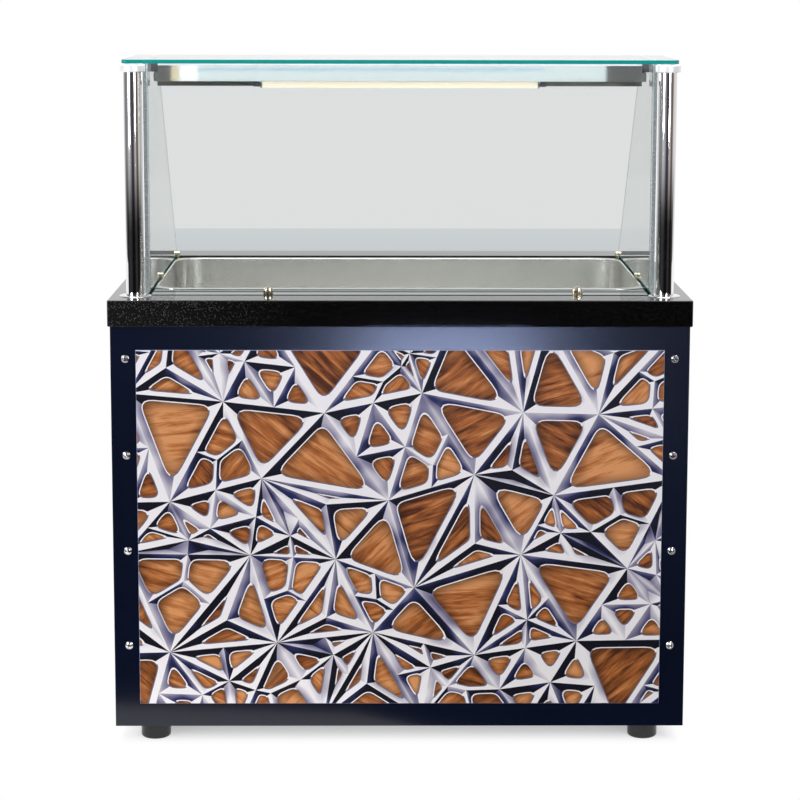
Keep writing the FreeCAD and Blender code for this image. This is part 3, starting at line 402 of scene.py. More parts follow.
def lattice_print(low, high):
    """Flat drawing of the lattice, cut to the panel's outline, with the panel's edge behind it."""
    shape = bmesh.new()
    zone, facet, tone, turn = (shape.faces.layers.float.new(name)
                               for name in ("zone", "facet", "tone", "turn"))
    shade = shape.verts.layers.float.new("shade")
    shared = {}
    widths_of = {}

    def spot_name(point):
        return round(point.x, 6), round(point.y, 6)

    def drawn(point):
        return shape.verts.new((point.x, low.y, point.y))

    def knot(point):
        name = spot_name(point)
        if name not in shared:
            shared[name] = drawn(point)
        return shared[name]

    def ring(arcs, depths):
        made = []
        for arc, depth in zip(arcs, depths):
            made.append([drawn(point) for point in arc])
            for corner in made[-1]:
                corner[shade] = depth
        return made

    def fill(corners, level, light, grain):
        face = shape.faces.new(corners)
        face[zone], face[facet] = level, light
        face[tone], face[turn] = grain

    def band(near, far, level, lights, grain):
        for index in range(len(near)):
            after = (index + 1) % len(near)
            fill([near[index], near[after], far[after], far[index]], level, lights[index], grain)

    def half_width(start, end, length):
        name = frozenset((spot_name(start), spot_name(end)))
        if name not in widths_of:
            span = bar_half_widths if length > longest_spoke else spoke_half_widths
            widths_of[name] = draw.uniform(*span)
        return widths_of[name]

    for cell in lattice_cells(low, high):
        count = len(cell)
        bends = [abs((cell[i] - cell[i - 1]).angle(cell[(i + 1) % count] - cell[i])) > 0.02
                 for i in range(count)]
        first = bends.index(True)
        cell = cell[first:] + cell[:first]
        bends = bends[first:] + bends[:first]
        corners = [point for point, bend in zip(cell, bends) if bend]
        sides = []
        for point, bend in zip(cell, bends):
            if bend:
                sides.append([point])
            else:
                sides[-1].append(point)
        grain = (draw.random(), draw.uniform(-0.9, 0.9))
        widths, lights, depths = [], [], []
        for index, corner in enumerate(corners):
            following = corners[(index + 1) % len(corners)]
            run = following - corner
            facing = Vector((-run.y, run.x)).normalized().dot(print_light)
            widths.append(half_width(corner, following, run.length))
            lights.append(min(1.0, max(0.0, 0.62 + 0.52 * facing + draw.uniform(-0.24, 0.24))))
            depths.append(0.60 - 0.34 * facing)
        corner_depths = [(depths[index - 1] + depths[index]) / 2 for index in range(len(corners))]
        openings = inset_corners(corners, widths)
        rims = inset_corners(corners, [width + rim_width for width in widths])
        if not openings or not rims:
            peak = drawn(sum(corners, Vector((0, 0))) / len(corners))
            peak[shade] = 1.0
            for index, side in enumerate(sides):
                run = side + [corners[(index + 1) % len(corners)]]
                for start, end in zip(run, run[1:]):
                    fill([knot(start), knot(end), peak], 0.0, lights[index] * 0.6, grain)
            continue
        outer = ring(corner_arcs(openings, opening_corner), [1.0] * len(corners))
        inner = ring(corner_arcs(rims, opening_corner - rim_width), corner_depths)
        for index, side in enumerate(sides):
            after = (index + 1) % len(corners)
            run = [knot(point) for point in side] + [knot(corners[after])]
            fill(run + [outer[after][0], outer[index][-1]], 0.0, lights[index], grain)
            arc = outer[index]
            for step in range(len(arc) - 1):
                light = lights[index - 1] if step < len(arc) // 2 else lights[index]
                fill([knot(corners[index]), arc[step + 1], arc[step]], 0.0, light, grain)
        near, far = (sum(rounds, []) for rounds in (outer, inner))
        owners = [index - 1 if step < len(arc) // 2 - 1 else index
                  for index, arc in enumerate(outer) for step in range(len(arc))]
        band(near, far, 0.5, [lights[owner] for owner in owners], grain)
        for width in shadow_widths:
            hollows = inset_corners(corners, [own + rim_width + width for own in widths])
            if hollows:
                core = sum(ring(corner_arcs(hollows, opening_corner - rim_width), [0.0] * len(corners)), [])
                band(far, core, 1.0, [0.5] * len(far), grain)
                far = core
                break
        fill(far, 1.0, 0.5, grain)

    edge = laminate_chamfer
    for spot, away in (((low.x + edge, 0, 0), (-1, 0, 0)), ((high.x - edge, 0, 0), (1, 0, 0)),
                       ((0, 0, low.z + edge), (0, 0, -1)), ((0, 0, high.z - edge), (0, 0, 1))):
        bmesh.ops.bisect_plane(shape, geom=shape.verts[:] + shape.edges[:] + shape.faces[:], dist=1e-7,
                               plane_co=spot, plane_no=away, clear_outer=True)
    outline = [side for side in shape.edges if side.is_boundary]
    for sloping, depth in ((True, edge), (False, high.y - low.y - edge)):
        added = bmesh.ops.extrude_edge_only(shape, edges=outline)["geom"]
        for corner in (item for item in added if isinstance(item, bmesh.types.BMVert)):
            corner.co.y += depth
            for axis in (0, 2) if sloping else ():
                if corner.co[axis] < low[axis] + 2 * edge:
                    corner.co[axis] = low[axis]
                if corner.co[axis] > high[axis] - 2 * edge:
                    corner.co[axis] = high[axis]
        for face in (item for item in added if isinstance(item, bmesh.types.BMFace)):
            face.material_index = 1
        outline = [item for item in added if isinstance(item, bmesh.types.BMEdge) and item.is_boundary]
    for face in bmesh.ops.contextual_create(shape, geom=outline)["faces"]:
        face.material_index = 1
    bmesh.ops.recalc_face_normals(shape, faces=shape.faces)
    return shape


def blended(tree, share, under, over):
    """Colour between two, by a share."""
    return add_node(tree, "Mix", {0: share, 6: under, 7: over}, data_type="RGBA").outputs[2]


print_ink = new_finish("printed_laminate", None, (500.0, 0.00001, 0.36, 0.46), IOR=1.5,
                       Specular_IOR_Level=0.22)
ink = print_ink.node_tree
ink_zone, ink_facet, ink_tone, ink_turn, ink_shade = (
    add_node(ink, "Attribute", attribute_name=name).outputs["Fac"]
    for name in ("zone", "facet", "tone", "turn", "shade"))
ink_place = own_place(ink)
ink_cloud = add_node(ink, "TexNoise", {"Vector": ink_place, "Scale": 14.0, "Detail": 1.0})
ink_slope = reckoned(ink, "MULTIPLY_ADD", ink_shade, -0.20, mapped(ink, ink_cloud, 0.3, 0.7, -0.16, 0.16))
bar_colour = toned(ink, reckoned(ink, "ADD", ink_facet, ink_slope), (0.06, (0.004, 0.004, 0.010)),
                   (0.22, (0.021, 0.026, 0.10)), (0.39, (0.25, 0.235, 0.34)), (0.55, (0.56, 0.535, 0.60)),
                   (0.70, (0.86, 0.835, 0.85)))
rim_colour = toned(ink, ink_facet, (0.52, (0.86, 0.85, 0.90)), (0.60, (0.16, 0.15, 0.22)))
wood_turned = add_node(ink, "VectorRotate", {"Vector": ink_place, "Angle": ink_turn}, rotation_type="Y_AXIS")
wood_shift = reckoned(ink, "ADD", wood_turned, reckoned(ink, "MULTIPLY", ink_tone, 3.0), kind="VectorMath")
wood_run = reckoned(ink, "MULTIPLY", wood_shift, (9.0, 9.0, 75.0), kind="VectorMath")
wood_band = add_node(ink, "TexNoise", {"Vector": wood_run, "Scale": 1.0, "Detail": 3.0, "Distortion": 0.6})
wood_fine = add_node(ink, "TexNoise", {"Vector": wood_run, "Scale": 4.5, "Detail": 4.0})
wood_mix = reckoned(ink, "MULTIPLY_ADD", wood_fine, 0.35, wood_band)
wood_depth = reckoned(ink, "MULTIPLY_ADD", ink_tone, 0.30, wood_mix)
wood_colour = toned(ink, wood_depth, (0.56, (0.080, 0.021, 0.007)), (0.80, (0.41, 0.130, 0.033)),
                    (1.0, (0.68, 0.30, 0.115)))
wood_dark = blended(ink, ink_shade, wood_colour, (0.020, 0.008, 0.004, 1))
over_rim = blended(ink, reckoned(ink, "GREATER_THAN", ink_zone, 0.25), bar_colour, rim_colour)
over_wood = blended(ink, reckoned(ink, "GREATER_THAN", ink_zone, 0.75), over_rim, wood_dark)
wire(print_ink, Base_Color=over_wood)
# The panel's cut edge is coloured pale blue, a painted highlight for the light that the edge catches.
laminate_edge_sheen = new_finish("laminate_edge_sheen", (0.40, 0.50, 0.74), (900.0, 0.00002, 0.4, 0.55), IOR=1.5)
printed = [(lattice_print(*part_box("print_panel")), [print_ink, laminate_edge_sheen])]
fitted("print_panel", "_drawn", printed, crease=20)

# Panel screws
# Chromed dome-head screws with a cross recess, in two columns, hold the front sheet to the uprights.
# Each one stopped at its own angle when it was driven home.
screw_rows = 4
screw_pitch = 0.202
screw_radius = 0.008
screw_height = 0.0039
cross_reach = 0.0040
cross_half_width = 0.0009
cross_depth = 0.0016
chrome = new_finish("chrome", (0.86, 0.86, 0.87), (60.0, 0.0000001, 0.02, 0.05), Metallic=1.0)


def cross_screw(place, radius, height, reach, half, depth, steps=48):
    """Dome head with a cross recess, standing on the XY plane, then put in place."""
    bulge = (radius ** 2 + height ** 2) / (2 * height)
    turns = [2 * math.pi * step / steps for step in range(steps)]

    def dome(span):
        return math.sqrt(bulge ** 2 - span ** 2) - bulge + height

    def cross(turn, scale):
        along, aside = abs(math.cos(turn)), abs(math.sin(turn))
        first = min(reach / max(along, 1e-6), half / max(aside, 1e-6))
        second = min(half / max(along, 1e-6), reach / max(aside, 1e-6))
        return max(first, second) * scale

    rings = [[(radius * math.cos(turn), radius * math.sin(turn), 0) for turn in turns]]
    for share in (1.0, 0.985, 0.93, 0.85, 0.75, 0.66):
        span = radius * share
        level = max(dome(span), 0.12 * height)
        rings.append([(span * math.cos(turn), span * math.sin(turn), level) for turn in turns])
    for scale, drop in ((1.06, 0.0), (1.0, 0.00012), (0.72, depth)):
        spans = [cross(turn, scale) for turn in turns]
        rings.append([(span * math.cos(turn), span * math.sin(turn), dome(span) - drop)
                      for turn, span in zip(turns, spans)])
    rings = [[place @ Vector(point) for point in ring] for ring in rings]
    return lofted(rings, cap_first=True, cap_last=True)


def grown(name, tree, sizes, spent):
    """Runs a geometry node tree once and keeps its result as a plain mesh; the object it drew on goes."""
    piece = bpy.data.objects.new(name, bpy.data.meshes.new(name))
    bpy.context.scene.collection.objects.link(piece)
    modifier = piece.modifiers.new(name, "NODES")
    modifier.node_group = tree
    for item in tree.interface.items_tree:
        if item.in_out == "INPUT" and item.name in sizes:
            modifier[item.identifier] = sizes[item.name]
    mesh = bpy.data.meshes.new_from_object(piece.evaluated_get(bpy.context.evaluated_depsgraph_get()))
    piece.modifiers.remove(modifier)
    piece.data = mesh
    bpy.data.objects.remove(spent)
    return piece


def new_tree(name, *inputs):
    """Geometry node tree with its named inputs; gives the tree and what its input node puts out."""
    tree = bpy.data.node_groups.new(name, "GeometryNodeTree")
    for label, kind in inputs:
        tree.interface.new_socket(label, in_out="INPUT", socket_type="NodeSocket" + kind)
    tree.interface.new_socket("Geometry", in_out="OUTPUT", socket_type="NodeSocketGeometry")
    return tree, tree.nodes.new("NodeGroupInput").outputs


def set_out(tree, points, piece, turn):
    """Copies of a piece on points, each with its turn."""
    shape = add_node(tree, "GeometryNodeObjectInfo", {"Object": piece}).outputs["Geometry"]
    feeds = {"Points": points, "Instance": shape, "Rotation": turn}
    return add_node(tree, "GeometryNodeInstanceOnPoints", feeds)


def ended(tree, shape, finish):
    """Ends a tree: its shape is made real and takes its finish."""
    real = add_node(tree, "GeometryNodeRealizeInstances", {"Geometry": shape})
    coated = add_node(tree, "GeometryNodeSetMaterial", {"Geometry": real, "Material": finish})
    tree.links.new(coated.outputs[0], tree.nodes.new("NodeGroupOutput").inputs["Geometry"])
    return tree


def screw_columns_tree():
    """Two columns of one screw, each turned by chance about its own axis."""
    tree, given = new_tree("screw_columns", ("Screw", "Object"), ("Rows", "Int"), ("Drop", "Vector"),
                           ("Left top", "Vector"), ("Right top", "Vector"), ("Seed", "Int"),
                           ("Finish", "Material"))
    columns = add_node(tree, "GeometryNodeJoinGeometry")
    for label in ("Left top", "Right top"):
        feeds = {"Count": given["Rows"], "Offset": given["Drop"], "Start Location": given[label]}
        tree.links.new(add_node(tree, "GeometryNodeMeshLine", feeds).outputs[0], columns.inputs["Geometry"])
    feeds = {2: 0.0, 3: math.pi / 2, "Seed": given["Seed"]}
    chance = add_node(tree, "FunctionNodeRandomValue", feeds, data_type="FLOAT")
    turn = add_node(tree, "CombineXYZ", {"Y": chance.outputs[1]})
    return ended(tree, set_out(tree, columns, given["Screw"], turn), given["Finish"])


facing_front = Matrix.Rotation(math.pi / 2, 4, "X")
low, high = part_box("panel_screws")
sheet_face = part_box("front_panel")[0].y
head = cross_screw(facing_front, screw_radius, screw_height, cross_reach, cross_half_width, cross_depth)
one_screw = assembled("one_screw", [(head, chrome)], 30)
screw_head_rows = {"Screw": one_screw, "Rows": screw_rows, "Drop": (0.0, 0.0, -screw_pitch), "Seed": 5,
                   "Left top": (low.x + screw_radius, sheet_face, high.z - screw_radius),
                   "Right top": (high.x - screw_radius, sheet_face, high.z - screw_radius), "Finish": chrome}
panel_screws = grown("panel_screw_heads", screw_columns_tree(), screw_head_rows, one_screw)
stands_for(panel_screws, "counter", "panel_screws")

# Worktop
# One slab of polished black granite with softly broken edges, cut out for the well; its holes for the posts
# are left out.
# It lies on the top frame; fine silver specks and a paler haze show in the polish, strongest at the left end
# and fading out before the middle.
worktop_edge = 0.003
slab_corner = 0.004
cutout_corner = 0.0652
cutout_gap = 0.0052
tank_flange = 0.022
slab_low, slab_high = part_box("worktop")
flange_low, flange_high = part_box("well_tank")


def rounded_rect(low, high, inset, radius, level, steps=8):
    """Level ring of points round a rectangle with rounded corners, moved inwards by an inset."""
    ring = []
    reach = max(radius - inset, 1e-5)
    for turn, x, y in ((180, low.x, low.y), (270, high.x, low.y), (0, high.x, high.y), (90, low.x, high.y)):
        centre = Vector((x + inset + reach if x == low.x else x - inset - reach,
                         y + inset + reach if y == low.y else y - inset - reach))
        for step in range(steps + 1):
            angle = math.radians(turn + 90 * step / steps)
            ring.append(Vector((centre.x + reach * math.cos(angle), centre.y + reach * math.sin(angle),
                                level)))
    return ring


def quarter(radius, steps=4):
    """Pairs of inset and drop round a quarter circle, from the side to the top."""
    turns = [math.pi / 2 * step / steps for step in range(steps + 1)]
    return [(radius * (1 - math.cos(turn)), radius * (1 - math.sin(turn))) for turn in turns]


cut_low = Vector((flange_low.x + tank_flange - cutout_gap, flange_low.y + tank_flange - cutout_gap, 0))
cut_high = Vector((flange_high.x - tank_flange + cutout_gap, flange_high.y - tank_flange + cutout_gap, 0))
slab_rings = [rounded_rect(slab_low, slab_high, inset, slab_corner, slab_low.z + drop)
              for inset, drop in reversed(quarter(worktop_edge))]
slab_rings += [rounded_rect(slab_low, slab_high, inset, slab_corner, slab_high.z - drop)
               for inset, drop in quarter(worktop_edge)]
slab_rings += [rounded_rect(cut_low, cut_high, 0, cutout_corner, level)
               for level in (slab_high.z, slab_low.z)]
granite = new_finish("black_granite", IOR=1.55)
stone = granite.node_tree
stone_place = own_place(stone)
stone_speck = add_node(stone, "TexVoronoi", {"Vector": stone_place, "Scale": 420.0}).outputs
stone_chance = add_node(stone, "SeparateColor", {"Color": stone_speck["Color"]}).outputs["Red"]
stone_core = mapped(stone, stone_speck["Distance"], 0.34, 0.52, 1.0, 0.0)
stone_flake = reckoned(stone, "MULTIPLY", mapped(stone, stone_chance, 0.68, 0.90), stone_core)
stone_across = add_node(stone, "SeparateXYZ", {"Vector": stone_place}).outputs["X"]
# Specks and haze are strongest at the left end and fade out towards the middle.
stone_left_fade = mapped(stone, stone_across, -0.6, -0.17, 1.0, 0.08, interpolation_type="SMOOTHSTEP")
stone_cloud = add_node(stone, "TexNoise", {"Vector": stone_place, "Scale": 160.0, "Detail": 3.0})
stone_ground = toned(stone, stone_cloud, (0.35, (0.0012, 0.0012, 0.0013)), (0.75, (0.0040, 0.0040, 0.0042)))
stone_haze = blended(stone, stone_left_fade, stone_ground, (0.0098, 0.0098, 0.0098, 1))
stone_mask = reckoned(stone, "MULTIPLY", stone_flake, stone_left_fade)
stone_colour = blended(stone, stone_mask, stone_haze, (0.105, 0.105, 0.106, 1))
wire(granite, Base_Color=stone_colour, Roughness=mapped(stone, stone_cloud, 0.3, 0.7, 0.018, 0.030))
fitted("worktop", "_slab", [(lofted(slab_rings, wrap=True), granite)])

# Well tank
# Deep-drawn stainless tank with a flat flange on the stone, a coved floor and a hole for the drain.
# It is satin polished along the counter, and its flange is buffed brighter.
tank_sheet = 0.0012
well_corner = 0.060
floor_cove = 0.025
drain_place = Vector((0.440, 0.250))
drain_hole = 0.0202
drain_steps = 40
along_counter = (0.04, 1.0, 1.0)
satin_steel = new_finish("satin_steel", (0.79, 0.785, 0.76), (1600.0, 0.0000001, 0.246, 0.254, along_counter),
                         Metallic=1.0)
flange_polish = new_finish("flange_polish", (0.74, 0.74, 0.72), (900.0, 0.0000001, 0.05, 0.07, along_counter),
                           Metallic=1.0)
well_low = Vector((flange_low.x + tank_flange, flange_low.y + tank_flange, 0))
well_high = Vector((flange_high.x - tank_flange, flange_high.y - tank_flange, 0))
flange_top = flange_high.z
floor_top = flange_low.z + tank_sheet


def well_ring(inset, level):
    """Level ring round the well, moved inwards by an inset."""
    return rounded_rect(well_low, well_high, inset, well_corner, level, 14)


def tank_shell():
    """Closed sheet: from the floor's underside up the outside, over the flange, and down to the floor."""
    outer_floor, outer_top = floor_top - tank_sheet, flange_top - tank_sheet
    rings = [well_ring(inset - tank_sheet, outer_floor + drop)
             for inset, drop in reversed(quarter(floor_cove + tank_sheet, 8))]
    rings.append(well_ring(-tank_sheet, outer_top))
    rings += [well_ring(-tank_flange, outer_top), well_ring(-tank_flange, flange_top - 0.0004),
              well_ring(-tank_flange + 0.0004, flange_top)]
    rings += [well_ring(-inset, flange_top - drop)
              for inset, drop in ((0.003, 0), (0.0014, 0.0003), (0, 0.0014))]
    rings += [well_ring(inset, floor_top + drop) for inset, drop in quarter(floor_cove, 8)]
    shell = lofted(rings)
    shell.verts.ensure_lookup_table()
    count = len(rings[0])
    turns = [2 * math.pi * step / drain_steps for step in range(drain_steps)]
    rims = []
    for level, first in ((floor_top, len(shell.verts) - count), (outer_floor, 0)):
        rim = [shell.verts.new((drain_place.x + drain_hole * math.cos(turn),
                                drain_place.y + drain_hole * math.sin(turn), level)) for turn in turns]
        shell.verts.ensure_lookup_table()
        edges = [shell.edges.new((rim[step - 1], rim[step])) for step in range(drain_steps)]
        around = [shell.verts[first + step] for step in range(count)]
        edges += [shell.edges.get((around[step - 1], around[step])) for step in range(count)]
        bmesh.ops.triangle_fill(shell, edges=edges, use_beauty=True)
        rims.append(rim)
    for step in range(drain_steps):
        shell.faces.new((rims[0][step - 1], rims[0][step], rims[1][step], rims[1][step - 1]))
    bmesh.ops.recalc_face_normals(shell, faces=shell.faces)
    for face in shell.faces:
        face.material_index = 1 if face.calc_center_median().z > flange_top - 0.0003 else 0
    return shell


fitted("well_tank", "_drawn", [(tank_shell(), [satin_steel, flange_polish])], crease=50)
recoat(satin_steel, "drain_strainer")

# Heating under the tank
# Tube heaters lie under the tank's floor on a batt of mineral wool, in a galvanised tray.
# The sheaths are dulled by heat, and the wool has a soft uneven face.
wool_step = 0.012
wool_depth = 0.0022
heater_sheath = new_finish("heater_sheath", (0.13, 0.125, 0.12), (260.0, 0.00003, 0.40, 0.60), Metallic=0.8)
mineral_wool = new_finish("mineral_wool", (0.42, 0.37, 0.22), (420.0, 0.0008, 0.85, 1.0, (1.0, 0.35, 1.0)),
                          IOR=1.3)


def shaded_by_grain(finish, dark, light):
    """Lets the surface grain of a finish show in its colour."""
    tree = finish.node_tree
    wire(finish, Base_Color=toned(tree, tree.nodes["Group"].outputs["Grain"], (0.3, dark), (0.7, light)))


def wool_batt(low, high):
    """Slab whose faces swell and sink a little inside its box."""
    columns, rows = int((high.x - low.x) / wool_step), int((high.y - low.y) / wool_step)
    shape = bmesh.new()
    layers = []
    for level, sign in ((low.z, 1), (high.z, -1)):
        layer = []
        for row in range(rows + 1):
            for column in range(columns + 1):
                edge = column in (0, columns) or row in (0, rows)
                spot = Vector((low.x + (high.x - low.x) * column / columns,
                               low.y + (high.y - low.y) * row / rows, level))
                sink = 0.5 + 0.5 * noise.noise(spot * 55)
                spot.z += sign * wool_depth * (1.6 if edge else sink)
                layer.append(shape.verts.new(spot))
        layers.append(layer)
    wide = columns + 1
    for layer, order in ((layers[0], -1), (layers[1], 1)):
        for row in range(rows):
            for column in range(columns):
                spot = row * wide + column
                corners = [layer[spot], layer[spot + 1], layer[spot + wide + 1], layer[spot + wide]]
                shape.faces.new(corners[::order])
    border = list(range(columns)) + [row * wide + columns for row in range(rows)]
    border += [rows * wide + column for column in range(columns, 0, -1)]
    border += [row * wide for row in range(rows, 0, -1)]
    for spot, after in zip(border, border[1:] + border[:1]):
        shape.faces.new((layers[0][spot], layers[0][after], layers[1][after], layers[1][spot]))
    return shape


shaded_by_grain(mineral_wool, (0.20, 0.16, 0.07), (0.56, 0.50, 0.33))
recoat(heater_sheath, "heating_elements")
recoat(galvanised, "heat_shield")
batt = wool_batt(*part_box("tank_insulation"))
fitted("tank_insulation", "_batt", [(batt, mineral_wool)], crease=70)

# Drain
# A brass tail, ball valve and hose spigot hang under the well; a red-sleeved lever turns the valve's ball.
# The lever makes a quarter turn. The brass is machined and has dulled a little.
sleeve_length = 0.058
brass = new_finish("brass", (0.62, 0.42, 0.17), (300.0, 0.00002, 0.20, 0.34), Metallic=1.0)
red_sleeve = new_finish("red_sleeve", (0.42, 0.018, 0.014), (260.0, 0.00006, 0.38, 0.52), IOR=1.45)
recoat(brass, "drain_pipe", "drain_valve", "valve_ball")
sleeve_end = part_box("valve_lever")[0].x + sleeve_length + 0.001
lever_shape = dressed("valve_lever", 0.0006)
for face in lever_shape.faces:
    face.material_index = 0 if face.calc_center_median().x < sleeve_end else 1
fitted("valve_lever", "_sleeved", [(lever_shape, [red_sleeve, zinc])], "drain_lever")

# Rear fascia and controls
# A brushed steel fascia closes the service bay and holds the thermostat, two switches and a pilot lamp.
# The parts are moulded in black, green and amber plastic and snap or screw into the sheet.
knob_ribs = 24
knob_core = 0.0155
scale_ticks = 10
scale_sweep = math.radians(270)
black_plastic = new_finish("black_plastic", (0.012, 0.012, 0.013), (900.0, 0.00005, 0.34, 0.48), IOR=1.5)
green_plastic = new_finish("green_plastic", (0.015, 0.30, 0.07), (700.0, 0.00002, 0.12, 0.22), IOR=1.5,
                           Transmission_Weight=0.25)
amber_plastic = new_finish("amber_plastic", (0.85, 0.28, 0.02), (300.0, 0.00002, 0.08, 0.16), IOR=1.5,
                           Transmission_Weight=0.4)
mark_white = new_finish("mark_white", (0.80, 0.80, 0.78), (900.0, 0.00002, 0.45, 0.6))
scale_ink = new_finish("scale_ink", (0.016, 0.016, 0.018), (900.0, 0.00002, 0.40, 0.55))
brushed_steel = new_finish("brushed_steel", None, (420.0, 0.0000015, 0.24, 0.36, (0.012, 1.0, 1.0)),
                           Metallic=1.0)
shaded_by_grain(brushed_steel, (0.46, 0.46, 0.45), (0.70, 0.695, 0.68))


def turned_row_tree():
    """Copies of one piece, each turned a step further about Z, then put in place together."""
    tree, given = new_tree("turned_row", ("Piece", "Object"), ("Count", "Int"), ("Start", "Float"),
                           ("Step", "Float"), ("Place", "Vector"), ("Turn", "Vector"), ("Finish", "Material"))
    spots = add_node(tree, "GeometryNodeMeshLine", {"Count": given["Count"], "Offset": (0.0, 0.0, 0.0)})
    order = add_node(tree, "GeometryNodeInputIndex")
    angle = reckoned(tree, "MULTIPLY_ADD", order, given["Step"], given["Start"])
    placed = set_out(tree, spots, given["Piece"], add_node(tree, "CombineXYZ", {"Z": angle}))
    feeds = {"Geometry": placed, "Translation": given["Place"], "Rotation": given["Turn"]}
    return ended(tree, add_node(tree, "GeometryNodeTransform", feeds), given["Finish"])


def taken_up(piece):
    """Shape of a piece that another one takes in; the piece itself goes."""
    shape = bmesh.new()
    shape.from_mesh(piece.data)
    bpy.data.objects.remove(piece)
    return shape


def raised(low, high, radius, levels, place=Matrix.Identity(4)):
    """Rounded bar over a rectangle, through pairs of inset and level."""
    rings = [rounded_rect(Vector(low), Vector(high), inset, radius, level, 4) for inset, level in levels]
    return lofted([[place @ point for point in ring] for ring in rings], cap_first=True, cap_last=True)


def knob_rib():
    """Half-round rib on the side of the knob's grip, tapering out at its top."""
    rings = []
    half_round = [math.pi * (step / 6 - 0.5) for step in range(7)]
    for level, share in ((0.0046, 1.0), (0.0176, 1.0), (0.0192, 0.75), (0.0198, 0.2)):
        rings.append([(knob_core - 0.0006 + 0.0020 * share * math.cos(turn), 0.0011 * math.sin(turn), level)
                      for turn in half_round])
    return lofted(rings, cap_first=True, cap_last=True)


fitted("rear_fascia", "_satin", [(dressed("rear_fascia", 0.0004), brushed_steel)])
recoat(brushed_steel, "terminal_box")
recoat(black_plastic, "thermostat")
recoat(zinc, "thermostat_spindle", "post_tie_rods")
for node, body, slot, finish in (
        ("power_switch_housing", "counter", "black_control_plastic", black_plastic),
        ("lamp_switch_housing", "counter", "black_control_plastic", black_plastic),
        ("power_rocker", "power_rocker", "green_rocker", green_plastic),
        ("lamp_rocker", "lamp_rocker", "black_control_plastic", black_plastic)):
    fitted(node, "_moulded", [(dressed(node, 0.0004), finish)], body)
facing_rear = Matrix.Rotation(-math.pi / 2, 4, "X")
rear_turn = (-math.pi / 2, 0.0, 0.0)
row_tree = turned_row_tree()
fascia_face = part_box("rear_fascia")[1].y
low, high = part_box("thermostat_knob")
skirt = (high.x - low.x) / 2
knob_foot = Vector(((low.x + high.x) / 2, low.y, (low.z + high.z) / 2))
knob_stand = Matrix.Translation(knob_foot) @ facing_rear
knob_profile = eased([(0.0032, 0.0), (skirt, 0.0), (skirt, 0.0036), (knob_core + 0.0008, 0.0044),
                      (knob_core - 0.0006, 0.0206), (0.001, 0.0210)], 0.0012)
one_rib = assembled("one_rib", [(knob_rib(), black_plastic)], 30)
rib_row = {"Piece": one_rib, "Count": knob_ribs, "Step": 2 * math.pi / knob_ribs, "Place": knob_foot,
           "Turn": rear_turn, "Finish": black_plastic}
ribs = grown("knob_ribs", row_tree, rib_row, one_rib)
ridge = raised((-0.0035, -0.0152, 0), (0.0035, 0.0152, 0), 0.0030,
               ((0.0, 0.0040), (0.0, 0.0226), (0.0003, 0.0233), (0.0009, 0.0237)), knob_stand)
pointer = raised((-0.0007, -0.0146, 0), (0.0007, -0.0040, 0), 0.0005,
                 ((0.0, 0.0230), (0.0, 0.0239)), knob_stand)
parts = [(turned(knob_profile, knob_stand, 96), black_plastic), (taken_up(ribs), black_plastic),
         (ridge, black_plastic), (pointer, mark_white)]
fitted("thermostat_knob", "_ribbed", parts, "thermostat_dial", 35)
tick = raised((0.0255, -0.0005, 0), (0.0295, 0.0005, 0), 0.0003, ((0.0, 0.0), (0.0, 0.00012)))
one_tick = assembled("one_tick", [(tick, scale_ink)])
tick_row = {"Piece": one_tick, "Count": scale_ticks, "Start": -math.pi / 2,
            "Step": -scale_sweep / (scale_ticks - 1), "Place": (knob_foot.x, fascia_face, knob_foot.z),
            "Turn": rear_turn, "Finish": scale_ink}
scale = grown("thermostat_scale", row_tree, tick_row, one_tick)
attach(scale, "counter")
low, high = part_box("pilot_lamp")
lens = (high.x - low.x) / 2
lens_back = low.y - fascia_face
pilot_stand = Matrix.Translation(((low.x + high.x) / 2, fascia_face, (low.z + high.z) / 2)) @ facing_rear
bezel = eased([(0.0010, lens_back), (0.0058, lens_back), (0.0058, 0.0), (lens, 0.0), (lens, 0.0016),
               (lens - 0.0010, 0.0024), (lens - 0.0014, 0.0014), (0.0010, 0.0012)], 0.0004, 2)
dome = [(lens - 0.0016, 0.0011), (lens - 0.0016, 0.0026), (lens - 0.0021, 0.0036), (lens - 0.0032, 0.0043),
        (lens - 0.0048, 0.0048), (0.0004, 0.0050)]
parts = [(turned(bezel, pilot_stand, 48), black_plastic), (turned(dome, pilot_stand, 48), amber_plastic)]
fitted("pilot_lamp", "_lens", parts, crease=45)

# Cable gland
# A black moulded gland is nutted through the cupboard floor, where the supply cable comes in.
# It has a six-sided nut above the sheet and a domed, six-sided clamping nut below it.
gland_bore = 0.005
gland_stem = 0.008
gland_steps = 48


def six_sided(radius, turn):
    """Reach of a hexagon with softly rounded corners."""
    across = (turn + math.pi / 6) % (math.pi / 3) - math.pi / 6
    return min(radius, 0.885 * radius / math.cos(across))


